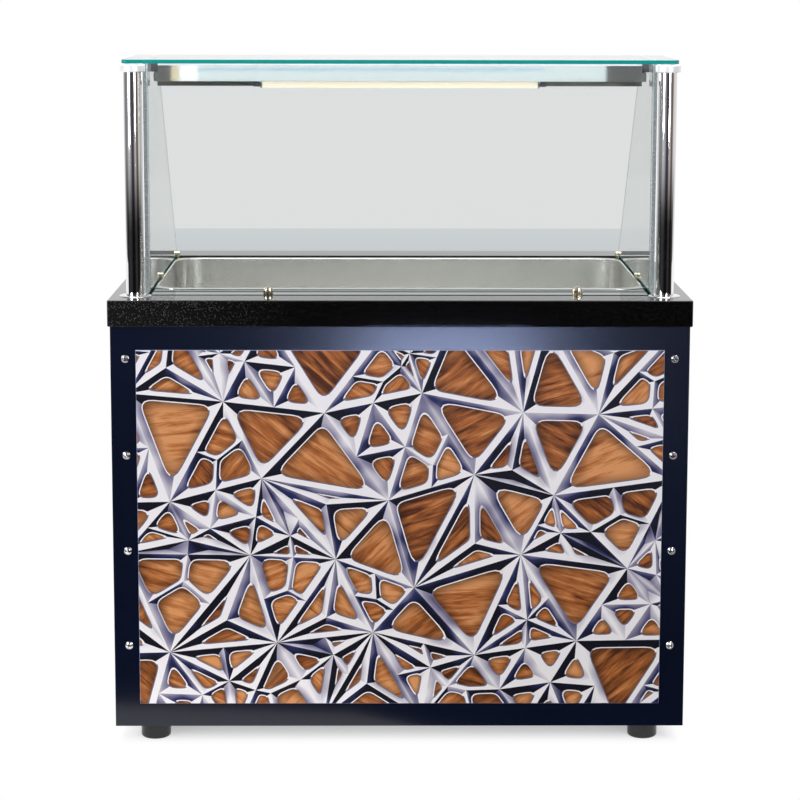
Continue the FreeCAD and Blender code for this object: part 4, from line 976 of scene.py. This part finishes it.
low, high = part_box("cable_gland")
nut = (high.x - low.x) / 2
gland_axis = Vector(((low.x + high.x) / 2, (low.y + high.y) / 2, 0))
sheet_low, sheet_high = (corner.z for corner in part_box("cupboard_floor"))
gland_skin = []
for radius, level, sided in (
        (gland_bore, low.z, False), (gland_stem - 0.0006, low.z, False), (gland_stem, low.z + 0.0008, False),
        (nut - 0.0016, sheet_low - 0.0085, False), (nut - 0.0004, sheet_low - 0.0072, True),
        (nut, sheet_low - 0.0064, True), (nut, sheet_low - 0.0006, True), (nut - 0.0005, sheet_low, True),
        (gland_stem, sheet_low, False), (gland_stem, sheet_high, False), (nut - 0.0005, sheet_high, True),
        (nut, sheet_high + 0.0006, True), (nut, high.z - 0.0012, True), (nut - 0.0010, high.z - 0.0002, True),
        (gland_stem + 0.001, high.z, False), (gland_bore, high.z, False)):
    ring = []
    for turn in (2 * math.pi * step / gland_steps for step in range(gland_steps)):
        reach = six_sided(radius, turn) if sided else radius
        ring.append(gland_axis + Vector((reach * math.cos(turn), reach * math.sin(turn), level)))
    gland_skin.append(ring)
parts = [(lofted(gland_skin, wrap=True), black_plastic)]
fitted("cable_gland", "_nutted", parts, crease=35)

# Service doors
# Two folded doors, lined with a flat sheet, swing on pivots at their outer edges. Magnetic catches hold them.
# Bent chromed bars are screwed on as handles.
handle_bend = 0.012


def bent_bar_tree():
    """Round bar along a drawn path, with closed ends."""
    tree, given = new_tree("bent_bar", ("Path", "Object"), ("Radius", "Float"), ("Finish", "Material"))
    path = add_node(tree, "GeometryNodeObjectInfo", {"Object": given["Path"]}).outputs["Geometry"]
    ring = add_node(tree, "GeometryNodeCurvePrimitiveCircle", {"Resolution": 32, "Radius": given["Radius"]})
    bar = add_node(tree, "GeometryNodeCurveToMesh", {"Curve": path, "Profile Curve": ring, "Fill Caps": True})
    return ended(tree, add_node(tree, "GeometryNodeSetShadeSmooth", {"Geometry": bar}), given["Finish"])


bar_tree = bent_bar_tree()
for side in ("left", "right"):
    for node in (side + "_door", side + "_door_liner"):
        fitted(node, "_painted", [(dressed(node, 0.0005), navy_paint)], side + "_door")
    low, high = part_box(side + "_door_handle")
    bar = (high.x - low.x) / 2
    route = bpy.data.curves.new(side + "_handle_route", "CURVE")
    route.dimensions = "3D"
    bends = eased([(low.y, low.z + bar), (high.y - bar, low.z + bar), (high.y - bar, high.z - bar),
                   (low.y, high.z - bar)], handle_bend, 10)
    run = route.splines.new("POLY")
    run.points.add(len(bends) - 1)
    for point, (y, z) in zip(run.points, bends):
        point.co = (low.x + bar, y, z, 1.0)
    path = bpy.data.objects.new(side + "_handle_route", route)
    bpy.context.scene.collection.objects.link(path)
    bar_sizes = {"Path": path, "Radius": bar, "Finish": chrome}
    handle = grown(side + "_door_handle_bent", bar_tree, bar_sizes, path)
    stands_for(handle, side + "_door", side + "_door_handle")
recoat(satin_steel, "door_pivots")
fitted("door_catches", "_eased", [(dressed("door_catches", 0.0012), black_plastic)])

# Glass posts
# Chromed tubes stand on thin flanges and are pulled to the stone by a rod inside.
# A polished collar on each one carries the top glass on a clear pad.
post_bore = 0.0175
rod_bore = 0.0063
rod_depth = 0.0093
collar_edge = 0.0022
post_steps = 128
collar_polish = new_finish("collar_polish", (0.96, 0.96, 0.96), (300.0, 0.000002, 0.30, 0.38), Metallic=0.25)
clear_pad = new_finish("clear_pad", (0.90, 0.92, 0.92), (200.0, 0.00002, 0.12, 0.24), IOR=1.45,
                       Transmission_Weight=0.9)
flange_parts = []
pad_parts = []
for side in ("left", "right"):
    low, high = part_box(side + "_post_tube")
    stand = standing(low, high)
    radius = (high.x - low.x) / 2
    tube = [(post_bore, low.z), (radius - 0.0003, low.z), (radius, low.z + 0.0004), (radius, high.z - 0.0004),
            (radius - 0.0003, high.z), (post_bore, high.z)]
    fitted(side + "_post_tube", "_chromed", [(turned(tube, stand, post_steps, True), chrome)])
    low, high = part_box(side + "_post_collar")
    radius = (high.x - low.x) / 2
    collar = eased([(rod_bore, low.z), (radius, low.z), (radius, high.z), (0.002, high.z)], collar_edge, 5)
    collar = [(rod_bore, low.z + rod_depth), (rod_bore, low.z)] + collar[1:]
    fitted(side + "_post_collar", "_polished", [(turned(collar, stand, post_steps), collar_polish)])
    low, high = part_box("post_flanges")
    rim = high.x - stand.translation.x if side == "right" else stand.translation.x - low.x
    flange = [(rod_bore, low.z), (rim - 0.0002, low.z), (rim, low.z + 0.0003), (rim - 0.0004, low.z + 0.0012),
              (rim - 0.0024, low.z + 0.0022), (rim - 0.006, low.z + 0.0028), (rim - 0.010, high.z),
              (rod_bore, high.z)]
    flange_parts.append((turned(flange, stand, post_steps, True), chrome))
    low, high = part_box("glass_pads")
    pad = (high.y - low.y) / 2
    profile = [(0.002, low.z), (pad - 0.0004, low.z), (pad, low.z + 0.0006), (pad, high.z - 0.0006),
               (pad - 0.0004, high.z), (0.002, high.z)]
    pad_parts.append((turned(profile, stand, 64), clear_pad))
fitted("post_flanges", "_chromed", flange_parts)
fitted("glass_pads", "_clear", pad_parts)

# Glass panes
# Clear toughened panes: a top shelf on the posts, a front screen and two raked end screens.
# Their edges are ground and polished, and look blue-green because one looks along the glass there; at the
# screens' feet and rear edges the green is darkened with painted shade.
arris = 0.0010
clear_glass = new_finish("clear_glass", (0.775, 0.80, 0.795), IOR=1.5, Transmission_Weight=1.0, Roughness=0.0)
glass_edge = new_finish("glass_edge", (0.007, 0.34, 0.305), (500.0, 0.00002, 0.06, 0.16), IOR=1.5,
                        Transmission_Weight=0.3)
# The screens' feet and rear edges: the glass's own green, darkened with painted shade.
shaded_glass_edge = new_finish("shaded_glass_edge", (0.002, 0.085, 0.072), (500.0, 0.00002, 0.45, 0.60), IOR=1.5,
                        Specular_IOR_Level=0.1)
ground_edge = new_finish("ground_edge", (0.72, 0.78, 0.77), (500.0, 0.00002, 0.20, 0.32), IOR=1.5,
                         Transmission_Weight=0.5)


def either(tree, share, first, second):
    """Shader between two, by a share."""
    return add_node(tree, "MixShader", {0: share, 1: first, 2: second})


def surfaced(tree, shader, end="Material Output"):
    """Gives a shader to the end of its tree."""
    tree.links.new(shader.outputs[0], tree.nodes[end].inputs["Surface"])


for finish, tint in ((clear_glass, (0.86, 0.88, 0.88, 1)), (glass_edge, (0.70, 0.86, 0.84, 1)),
                     (ground_edge, (0.80, 0.87, 0.86, 1)), (clear_pad, (0.85, 0.87, 0.87, 1))):
    # Lamp light passes straight through, as it does through thin glass.
    tree = finish.node_tree
    shadow = add_node(tree, "LightPath").outputs["Is Shadow Ray"]
    clear = add_node(tree, "BsdfTransparent", {"Color": tint})
    surfaced(tree, either(tree, shadow, tree.nodes["Principled BSDF"], clear))


def pane(outline, across, thickness, rounding=None, band=0.0):
    """Pane with broken arrises; its outline runs counter-clockwise seen against the across direction.

    Its faces are numbered: glass, then green edge or the dark band of painted shade at a screen's foot and
    rear edge, then pale edge.
    """
    steps = [(arris, 0.0), (0.0, arris), (0.0, thickness - arris), (arris, thickness)]
    if rounding:
        steps = [(inset, drop) for inset, drop in reversed(quarter(rounding))]
        steps += [(inset, thickness - drop) for inset, drop in quarter(rounding)]
    rings = []
    for inset, drop in steps:
        ring = []
        for index, corner in enumerate(outline):
            back = (outline[index - 1] - corner).normalized()
            ahead = (outline[(index + 1) % len(outline)] - corner).normalized()
            bisector = back + ahead
            if bisector.length < 1e-4:
                bisector = across.cross(ahead)
            lean = max(math.sin(back.angle(ahead) / 2), 0.3)
            ring.append(corner + bisector.normalized() * (inset / lean) + across * drop)
        rings.append(ring)
    shape = lofted(rings, cap_first=True, cap_last=True)
    foot = min(corner.co.z for corner in shape.verts) + band
    if band:
        bmesh.ops.bisect_plane(shape, geom=shape.verts[:] + shape.edges[:] + shape.faces[:], dist=1e-7,
                               plane_co=(0, 0, foot), plane_no=(0, 0, 1))
    shape.normal_update()
    for face in shape.faces:
        flat = abs(face.normal.dot(across)) > 0.95
        lower = face.calc_center_median().z < foot and (flat or face.normal.z < -0.5)
        trailing = not flat and face.normal.y > 0.3
        dark = rounding and not flat or band and (lower or trailing)
        face.material_index = 1 if dark else 0 if flat else 2
    return shape


low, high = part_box("top_glass")
shelf_rear = high.y
shelf_outline = rounded_rect(low, high, 0, 0.012, low.z, 10)
shelf = pane(shelf_outline, Vector((0, 0, 1)), high.z - low.z, 0.0009)
panes = [fitted("top_glass", "_shelf", [(shelf, [clear_glass, glass_edge])], crease=30)]
screen_finishes = [clear_glass, shaded_glass_edge, ground_edge]
low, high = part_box("front_glass")
outline = [Vector((x, low.y, z)) for x, z in ((low.x, low.z), (low.x, high.z), (high.x, high.z),
                                              (high.x, low.z))]
screen = pane(outline, Vector((0, 1, 0)), high.y - low.y, None, 0.0011)
panes.append(fitted("front_glass", "_screen", [(screen, screen_finishes)], crease=30))
for side in ("left", "right"):
    low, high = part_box(side + "_side_glass")
    outline = [Vector((low.x, y, z)) for y, z in ((low.y, low.z), (high.y, low.z), (shelf_rear, high.z),
                                                  (low.y, high.z))]
    screen = pane(outline, Vector((1, 0, 0)), high.x - low.x, None, 0.003)
    parts = [(screen, screen_finishes)]
    panes.append(fitted(side + "_side_glass", "_raked", parts, crease=30))

# Glass clamps
# Small chromed clips with round-topped cheeks grip the lower edges of the panes.
# A cross screw in each cheek squeezes the pane on a thin dark gasket.
clamp_width = 0.020
clamp_spread = 0.020
clamp_height = 0.015
front_clamps = (-0.275, 0.371)
near_clamp, far_clamp = -0.048, 0.363
pane_slot = 0.0082
slot_floor = 0.953
clamp_screw = 0.0062
clamp_screw_height = 0.0014
clamp_screw_level = 0.0076
warm_chrome = new_finish("warm_chrome", (0.84, 0.76, 0.58), (300.0, 0.000003, 0.20, 0.30), Metallic=1.0)
gasket = new_finish("gasket", (0.03, 0.03, 0.03), (900.0, 0.00003, 0.5, 0.65))


def clamp_cheek(place, thickness):
    """Round-topped cheek standing on the XZ plane, as thick as the pane's grip, with eased rims."""
    half = clamp_width / 2
    outline = [(-half, 0.0), (half, 0.0)]
    shoulder = clamp_height - half
    outline += [(half * math.cos(turn), shoulder + half * math.sin(turn))
                for turn in (math.pi * step / 20 for step in range(21))]
    outline = [point for index, point in enumerate(outline) if index == 0 or
               (Vector(point) - Vector(outline[index - 1])).length > 1e-6]
    middle = Vector((0, shoulder))
    rings = []
    for share, depth in ((0.92, 0.0), (0.97, 0.0003), (1.0, 0.0009), (1.0, thickness)):
        rings.append([place @ Vector((x * share, depth, max(0.0, middle.y + (z - middle.y) * share)))
                      for x, z in outline])
    return lofted(rings, cap_first=True, cap_last=True)


clamp_parts = []
low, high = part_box("front_glass")
clamp_places = [(Vector((x, (low.y + high.y) / 2, slab_high.z)), 0.0) for x in front_clamps]
for side in ("left", "right"):
    low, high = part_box(side + "_side_glass")
    for y, level in ((near_clamp, flange_top), (far_clamp, slab_high.z)):
        clamp_places.append((Vector(((low.x + high.x) / 2, y, level)), math.pi / 2))
cheek = (clamp_spread - pane_slot) / 2
for place, turn in clamp_places:
    drop = slab_high.z - place.z
    for half_turn in (0.0, math.pi):
        face = Matrix.Translation(place + Vector((0, 0, drop))) @ Matrix.Rotation(turn + half_turn, 4, "Z")
        outside = face @ Matrix.Translation((0, -clamp_spread / 2, 0))
        cheek_shape = clamp_cheek(outside, cheek)
        for corner in cheek_shape.verts:
            corner.co.z = max(corner.co.z, place.z)
        head = outside @ Matrix.Translation((0, 0, clamp_screw_level)) @ facing_front
        screw = cross_screw(head, clamp_screw, clamp_screw_height, 0.0042, 0.0009, 0.0012, 40)
        clamp_parts += [(cheek_shape, warm_chrome), (screw, warm_chrome)]
    seat = bmesh.new()
    seat_place = Matrix.Translation((place.x, place.y, (place.z + slot_floor) / 2))
    seat_size = Matrix.Diagonal((clamp_width - 0.001, pane_slot, slot_floor - place.z - 0.0001, 1))
    bmesh.ops.create_cube(seat, size=1.0, matrix=seat_place @ Matrix.Rotation(turn, 4, "Z") @ seat_size)
    bmesh.ops.bevel(seat, geom=seat.edges[:], offset=0.0003, segments=2, affect="EDGES")
    clamp_parts.append((seat, gasket))
fitted("glass_clamps", "_chromed", clamp_parts, crease=30)

# Lamp
# A folded channel, polished outside, hangs on two brackets over a warm tube lamp; its top bend has a whiter
# finish as a painted highlight.
# The tube has metal caps with two pins, held in lampholders whose dark colour is painted shade from the
# channel over them.
channel_sheet = 0.0012
channel_bend = 0.006
tube_half = 0.295
cap_length = 0.006
pin_spread = 0.00635
polished_steel = new_finish("polished_steel", (0.74, 0.745, 0.76),
                            (240.0, 0.0000002, 0.02, 0.035, (0.03, 1.0, 1.0)), Metallic=1.0)
# The channel's inside is rougher steel, and its dark olive colour is painted shade from the channel over it.
channel_shade_steel = new_finish("channel_shade_steel", (0.20, 0.195, 0.150), (260.0, 0.00001, 0.35, 0.48), Metallic=1.0)
bracket_steel = new_finish("bracket_steel", (0.24, 0.235, 0.24), (260.0, 0.00001, 0.30, 0.42), Metallic=1.0)
lamp_glass = new_finish("lamp_glass", (0.86, 0.80, 0.66), (30.0, 0.000002, 0.12, 0.2), Roughness=0.2, IOR=1.5,
                        Emission_Color=(1.0, 0.85, 0.62, 1), Emission_Strength=0.75)
# Lampholders: their dark colour is painted shade from the channel above them.
shaded_holder_plastic = new_finish("shaded_holder_plastic", (0.110, 0.102, 0.084), (700.0, 0.00004, 0.35, 0.5), IOR=1.5)
low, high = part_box("lamp_housing")
channel = dressed("lamp_housing", 0.0004)
channel.normal_update()
for face in channel.faces:
    spot = face.calc_center_median()
    within = low.y + channel_sheet < spot.y < high.y - channel_sheet and abs(spot.x) < high.x - channel_sheet
    inside = within and spot.z < high.z - channel_sheet
    # The top and top bend take the collars' whiter finish, a painted highlight of the light from above.
    highlight_crown = face.normal.z > 0.05 and spot.z > high.z - channel_bend
    face.material_index = 2 if highlight_crown else 1 if inside else 0
parts = [(channel, [polished_steel, channel_shade_steel, collar_polish])]
fitted("lamp_housing", "_polished", parts)
fitted("lamp_brackets", "_eased", [(dressed("lamp_brackets", 0.001), bracket_steel)])
fitted("lamp_holders", "_eased", [(dressed("lamp_holders", 0.0008), shaded_holder_plastic)])
low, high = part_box("lamp_tube")
radius = (high.z - low.z) / 2
along = Matrix.Translation((0, (low.y + high.y) / 2, (low.z + high.z) / 2))
along = along @ Matrix.Rotation(math.pi / 2, 4, "Y")
glass_half = tube_half - cap_length
glass_profile = [(radius - 0.0008, -glass_half), (radius - 0.0004, -glass_half + 0.001),
                 (radius - 0.0004, glass_half - 0.001), (radius - 0.0008, glass_half)]
tube_parts = [(turned(glass_profile, along, 64), lamp_glass)]
for sign in (-1, 1):
    near, far = sorted((sign * tube_half, sign * glass_half))
    cap = eased([(0.003, near), (radius, near), (radius, far), (0.003, far)], 0.0015)
    tube_parts.append((turned(cap, along, 64), zinc))
    near, far = sorted((sign * (tube_half - 0.0005), sign * (tube_half + 0.006)))
    pin = eased([(0.0002, near), (0.0012, near), (0.0012, far), (0.0002, far)], 0.0005)
    for spread in (-pin_spread, pin_spread):
        tube_parts.append((turned(pin, along @ Matrix.Translation((0, spread, 0)), 20), brass))
fitted("lamp_tube", "_lit", tube_parts)

# Studio
# A pale floor, white all round for the camera, soft lamps in front and above, and a low black flag behind.
# The dome is bright behind and over the counter and dark in front, so that metal and paint keep their depth.


def field(corners):
    """One flat face through its corners."""
    shape = bmesh.new()
    shape.faces.new([shape.verts.new(corner) for corner in corners])
    return shape


def unseen(thing, *sights):
    """Takes a thing out of some kinds of sight."""
    for sight in sights:
        setattr(thing, "visible_" + sight, False)


floor_finish = new_finish("studio_floor", (0.86, 0.86, 0.86), Roughness=0.9)
floor_tree = floor_finish.node_tree
floor_bare = floor_tree.nodes["Principled BSDF"]
floor_path = add_node(floor_tree, "LightPath").outputs
floor_place = own_place(floor_tree)
floor_fold = reckoned(floor_tree, "ABSOLUTE", floor_place, kind="VectorMath")
floor_past = reckoned(floor_tree, "SUBTRACT", floor_fold, (0.56, 0.30, 0.0), kind="VectorMath")
floor_axes = add_node(floor_tree, "SeparateXYZ", {"Vector": floor_past}).outputs
floor_span = reckoned(floor_tree, "MAXIMUM", floor_axes["X"], floor_axes["Y"])
floor_far = mapped(floor_tree, floor_span, -0.05, 0.08, interpolation_type="SMOOTHSTEP")
floor_glow = add_node(floor_tree, "Emission", {"Color": (1, 1, 1, 1), "Strength": 0.36})
floor_near = add_node(floor_tree, "AddShader", {0: floor_bare, 1: floor_glow})
floor_spot = add_node(floor_tree, "SeparateXYZ", {"Vector": floor_place}).outputs["Y"]
floor_bands = toned(floor_tree, mapped(floor_tree, floor_spot, 8.0, 11.0), (0.22, (0.58, 0.58, 0.58)),
                    (0.24, (0.80, 0.82, 0.84)), (0.64, (0.84, 0.86, 0.88)), (0.66, (1, 1, 1)))
floor_through = blended(floor_tree, floor_path["Is Transmission Ray"], (1, 1, 1, 1), floor_bands)
floor_white = add_node(floor_tree, "Emission", {"Color": floor_through, "Strength": 1.0})
floor_sum = either(floor_tree, floor_far, floor_near, floor_white)
floor_beyond = reckoned(floor_tree, "MAXIMUM", floor_path["Is Glossy Ray"], floor_path["Is Transmission Ray"])
floor_seen = reckoned(floor_tree, "MAXIMUM", floor_path["Is Camera Ray"], floor_beyond)
surfaced(floor_tree, either(floor_tree, floor_seen, floor_bare, floor_sum))
floor_outline = ((-9, -0.70), (-0.55, -0.68), (-0.10, -0.62), (0.06, -0.52), (0.35, -0.45), (9, -0.45),
                 (9, 14), (-9, 14))
studio_floor = assembled("studio_floor", [(field([(x, y, 0) for x, y in floor_outline]), floor_finish)])

flag_cloth = new_finish("flag_cloth", (0.03, 0.03, 0.03), (300.0, 0.0001, 0.8, 0.95))
flag_outline = ((-0.53, 0.9495), (0.53, 0.9495), (0.53, 0.9590), (-0.53, 0.9590))
rear_flag = assembled("rear_flag", [(field([(x, 0.412, z) for x, z in flag_outline]), flag_cloth)])
unseen(rear_flag, "camera", "diffuse", "transmission", "shadow", "volume_scatter")

world = bpy.data.worlds.new("studio_dome")
bpy.context.scene.world = world
world.use_nodes = True
dome_tree = world.node_tree
dome_path = add_node(dome_tree, "LightPath").outputs
dome_place = add_node(dome_tree, "TexCoord").outputs["Generated"]
dome_axes = add_node(dome_tree, "SeparateXYZ", {"Vector": dome_place}).outputs
dome_ahead = reckoned(dome_tree, "MULTIPLY", dome_axes["Y"], -1.0)
dome_bearing = reckoned(dome_tree, "ARCTAN2", dome_axes["X"], dome_ahead)
dome_stops = ((-180, (0.98, 0.98, 0.98)), (-135, (0.85, 0.85, 0.86)), (-105, (0.22, 0.22, 0.23)),
              (-75, (0.24, 0.23, 0.24)), (-55, (0.60, 0.60, 0.60)), (-30, (0.40, 0.40, 0.42)),
              (-14, (0.07, 0.065, 0.08)), (10, (0.06, 0.055, 0.07)), (20, (0.45, 0.44, 0.44)),
              (36, (0.50, 0.48, 0.47)), (46, (0.16, 0.11, 0.09)), (64, (0.18, 0.13, 0.11)),
              (76, (0.70, 0.66, 0.65)), (135, (0.85, 0.85, 0.86)), (180, (0.98, 0.98, 0.98)))
dome_colour = toned(dome_tree, mapped(dome_tree, dome_bearing, -math.pi, math.pi),
                    *((0.5 + bearing / 360, colour) for bearing, colour in dome_stops))
dome_low = mapped(dome_tree, dome_axes["Z"], -0.105, -0.070, 0.06, 1.0, interpolation_type="SMOOTHSTEP")
dome_keep = reckoned(dome_tree, "MAXIMUM", dome_low, mapped(dome_tree, dome_axes["Y"], -0.1, 0.3))
dome_light = dome_tree.nodes["Background"]
dome_tree.links.new(dome_colour.outputs[0], dome_light.inputs["Color"])
dome_tree.links.new(dome_keep.outputs[0], dome_light.inputs["Strength"])
dome_white = add_node(dome_tree, "Background", {"Color": (1, 1, 1, 1), "Strength": 1.0})
dome_direct = reckoned(dome_tree, "LESS_THAN", dome_path["Glossy Depth"], 0.5)
dome_through = reckoned(dome_tree, "MULTIPLY", dome_path["Is Transmission Ray"], dome_direct)
dome_seen = reckoned(dome_tree, "MAXIMUM", dome_path["Is Camera Ray"], dome_through)
surfaced(dome_tree, either(dome_tree, dome_seen, dome_light, dome_white), "World Output")


def soft_lamp(name, place, target, width, height, power, colour=(1.0, 1.0, 1.0)):
    """Rectangular soft lamp that looks at a point; gives its corners and its brightness."""
    lamp = bpy.data.lights.new(name, "AREA")
    lamp.shape = "RECTANGLE"
    lamp.size, lamp.size_y = width, height
    lamp.energy = power
    lamp.color = colour
    holder = bpy.data.objects.new(name, lamp)
    bpy.context.scene.collection.objects.link(holder)
    unseen(holder, "camera", "transmission")
    away = Vector(place) - Vector(target)
    holder.matrix_world = Matrix.Translation(place) @ away.to_track_quat("Z", "Y").to_matrix().to_4x4()
    corners = [holder.matrix_world @ Vector((x * width / 2, y * height / 2, 0))
               for x, y in ((-1, -1), (1, -1), (1, 1), (-1, 1))]
    return corners, [power / (math.pi * width * height)] * 3


lit_cards = [soft_lamp("left_box", (-3.0, -3.0, 2.05), (0, -0.3, 0.9), 1.0, 2.2, 100),
             soft_lamp("right_box", (1.9, -4.1, 2.05), (0.2, -0.3, 0.9), 0.6, 2.2, 75)]
soft_lamp("overhead_box", (0, 0.1, 3.4), (0, 0, 0.9), 2.6, 1.8, 90)
soft_lamp("floor_patch", (0.24, -5.25, 0.02), (0.24, -5.25, 1.0), 0.7, 1.0, 100, (0.52, 0.62, 1.0))

# The two upright lamps light the panes' edges, but leave no white field in a pane that mirrors them.
panes_left_out = bpy.data.collections.new("panes_left_out")
panes_alone = bpy.data.collections.new("panes_alone")
for piece in panes:
    panes_left_out.objects.link(piece)
    panes_alone.objects.link(piece)
for entry in panes_left_out.collection_objects:
    entry.light_linking.link_state = "EXCLUDE"
for name in ("left_box", "right_box"):
    box = bpy.data.objects[name]
    box_on_glass = box.copy()
    box_on_glass.name = name + "_on_glass"
    bpy.context.scene.collection.objects.link(box_on_glass)
    unseen(box_on_glass, "glossy")
    box_on_glass.light_linking.receiver_collection = panes_alone
    box.light_linking.receiver_collection = panes_left_out

# Cards for polish behind glass
# Copies of the two upright lamps, with lit fields and two thin lines opposite the lamp channel. They show
# only in polished steel behind a pane. Straight through a pane, or in anything outside, they are not there.
card_row = -5.0
line_row = card_row + 0.01
field_low, field_high = 1.140, 1.300
line_left, line_right = -0.797, 0.630
line_blue = (0.55, 1.15, 1.75)
for left, right, low, high, row, colour in (
        (-1.120, -0.906, field_low, field_high, card_row, (0.32, 0.32, 0.31)),
        (-0.906, -0.872, field_low, field_high, card_row, (1.84, 1.58, 1.10)),
        (-0.872, -0.797, field_low, field_high, card_row, (2.60, 2.60, 2.60)),
        (-0.797, 0.888, field_low, field_high, card_row, (1.80, 1.93, 1.93)),
        (0.888, 1.160, field_low, field_high, card_row, (0.32, 0.32, 0.31)),
        (line_left, line_right, 1.2430, 1.2480, line_row, line_blue),
        (line_left, line_right, 1.2320, 1.2360, line_row, line_blue)):
    lit_cards.append(([(left, row, low), (left, row, high), (right, row, high), (right, row, low)], colour))
card_shape = bmesh.new()
card_glow = card_shape.loops.layers.float_color.new("glow")
for corners, colour in lit_cards:
    for loop in card_shape.faces.new([card_shape.verts.new(corner) for corner in corners]).loops:
        loop[card_glow] = (*colour, 1.0)
card_finish = new_finish("card_light")
card_finish.cycles.emission_sampling = "NONE"
card_tree = card_finish.node_tree
card_path = add_node(card_tree, "LightPath").outputs
card_colour = add_node(card_tree, "Attribute", attribute_name="glow").outputs["Color"]
card_mirrored = reckoned(card_tree, "GREATER_THAN", card_path["Glossy Depth"], 0.5)
card_behind = reckoned(card_tree, "GREATER_THAN", card_path["Transmission Depth"], 2.5)
card_seen = reckoned(card_tree, "MULTIPLY", card_mirrored, card_behind)
card_light = add_node(card_tree, "Emission", {"Color": card_colour})
surfaced(card_tree, either(card_tree, card_seen, add_node(card_tree, "BsdfTransparent"), card_light))
mirror_cards = assembled("mirror_cards", [(card_shape, card_finish)])
unseen(mirror_cards, "camera", "diffuse", "glossy", "shadow", "volume_scatter")

view = bpy.data.cameras.new("photo_view")
view.lens = 104.94
view.sensor_width = 36.0
view.shift_y = -0.12
camera = bpy.data.objects.new("photo_view", view)
bpy.context.scene.collection.objects.link(camera)
camera.matrix_world = (Matrix.Translation((-0.03787, -5.11574, 1.59938)) @ Matrix.Rotation(-0.0078748, 4, "Z")
                       @ Matrix.Rotation(math.pi / 2 - 0.138159, 4, "X") @ Matrix.Rotation(0.001704, 4, "Z"))
bpy.context.scene.camera = camera
bpy.context.scene.view_settings.view_transform = "Standard"
